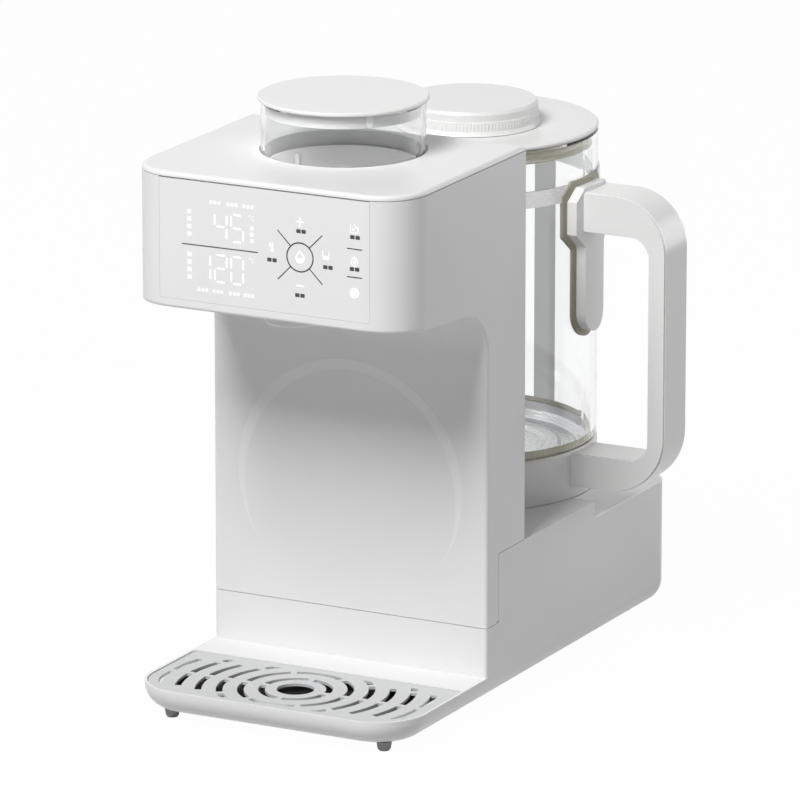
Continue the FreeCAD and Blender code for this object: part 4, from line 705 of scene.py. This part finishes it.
def sky():
    world = bpy.data.worlds.new("studio")
    bpy.context.scene.world = world
    world.use_nodes = True
    tree = world.node_tree
    tree.nodes.clear()
    output = tree.nodes.new("ShaderNodeOutputWorld")
    soft = tree.nodes.new("ShaderNodeBackground")
    soft.inputs["Color"].default_value = (1.0, 1.0, 1.0, 1.0)
    soft.inputs["Strength"].default_value = SKY_LEVEL
    white = tree.nodes.new("ShaderNodeBackground")
    white.inputs["Color"].default_value = (1.0, 1.0, 1.0, 1.0)
    white.inputs["Strength"].default_value = 1.0
    mix = tree.nodes.new("ShaderNodeMixShader")
    tree.links.new(seen_directly(tree), mix.inputs["Fac"])
    tree.links.new(soft.outputs["Background"], mix.inputs[1])
    tree.links.new(white.outputs["Background"], mix.inputs[2])
    tree.links.new(mix.outputs["Shader"], output.inputs["Surface"])


def floor():
    bpy.ops.mesh.primitive_plane_add(size=2 * FLOOR_HALF, location=(0.0, 0.0, 0.0))
    plane = bpy.context.object
    plane.name = "floor"
    material = bpy.data.materials.new("floor_white")
    material.use_nodes = True
    tree = material.node_tree
    tree.nodes.clear()
    output = tree.nodes.new("ShaderNodeOutputMaterial")
    matt = tree.nodes.new("ShaderNodeBsdfDiffuse")
    matt.inputs["Color"].default_value = (FLOOR_GREY, FLOOR_GREY, FLOOR_GREY, 1.0)
    glow = tree.nodes.new("ShaderNodeEmission")
    glow.inputs["Strength"].default_value = 1.0
    share = tree.nodes.new("ShaderNodeMath")
    share.operation = "MULTIPLY"
    share.inputs[1].default_value = FLOOR_WHITE
    mix = tree.nodes.new("ShaderNodeMixShader")
    tree.links.new(seen_directly(tree), share.inputs[0])
    tree.links.new(share.outputs["Value"], mix.inputs["Fac"])
    tree.links.new(matt.outputs["BSDF"], mix.inputs[1])
    tree.links.new(glow.outputs["Emission"], mix.inputs[2])
    tree.links.new(mix.outputs["Shader"], output.inputs["Surface"])
    plane.data.materials.append(material)


def soft_light(name, place, size, watts):
    data = bpy.data.lights.new(name, "AREA")
    data.shape = "SQUARE"
    data.size = size
    data.energy = watts
    lamp = bpy.data.objects.new(name, data)
    bpy.context.scene.collection.objects.link(lamp)
    lamp.location = place
    lamp.rotation_mode = "QUATERNION"
    lamp.rotation_quaternion = (CAMERA_AIM - place).to_track_quat("-Z", "Y")
    lamp.visible_camera = False


def grey_flag():
    """An upright grey card behind the jug that only its glass and steel show, which paints a dark
    reflection and refraction into them.
    """
    right = Vector((math.cos(CAMERA_AZIMUTH), math.sin(CAMERA_AZIMUTH), 0.0))
    behind = Vector((-math.sin(CAMERA_AZIMUTH), math.cos(CAMERA_AZIMUTH), 0.0)) * FLAG_BACK
    corners = ((FLAG_LEFT, FLAG_LOW), (FLAG_RIGHT, FLAG_LOW),
               (FLAG_RIGHT, FLAG_HIGH), (FLAG_LEFT, FLAG_HIGH))
    mesh = bpy.data.meshes.new("flag")
    mesh.from_pydata([tuple(behind + right * along + Vector((0, 0, up))) for along, up in corners], [],
                     [(0, 1, 2, 3)])
    material = bpy.data.materials.new("flag_grey_painted_reflection")
    material.use_nodes = True
    tree = material.node_tree
    tree.nodes.clear()
    output = tree.nodes.new("ShaderNodeOutputMaterial")
    glow = tree.nodes.new("ShaderNodeEmission")
    # The card glows grey to paint the dark reflection in the glass and steel
    glow.inputs["Color"].default_value = (FLAG_PAINTED_REFLECTION_TONE, FLAG_PAINTED_REFLECTION_TONE, FLAG_PAINTED_REFLECTION_TONE, 1.0)
    tree.links.new(glow.outputs["Emission"], output.inputs["Surface"])
    mesh.materials.append(material)
    flag = bpy.data.objects.new("flag_1", mesh)
    bpy.context.scene.collection.objects.link(flag)
    flag.visible_camera = False
    flag.visible_diffuse = False
    flag.visible_shadow = False


def main():
    camera()
    bpy.context.scene.view_settings.view_transform = "Standard"
    sky()
    floor()
    soft_light("key", KEY_PLACE, KEY_SIZE, KEY_WATTS)
    soft_light("back", BACK_PLACE, BACK_SIZE, BACK_WATTS)
    grey_flag()
    dress_cad()
    smooth_cad()
    panel_prints()
    tower_halo()
    knob_ribs()
    ring_lugs()


main()
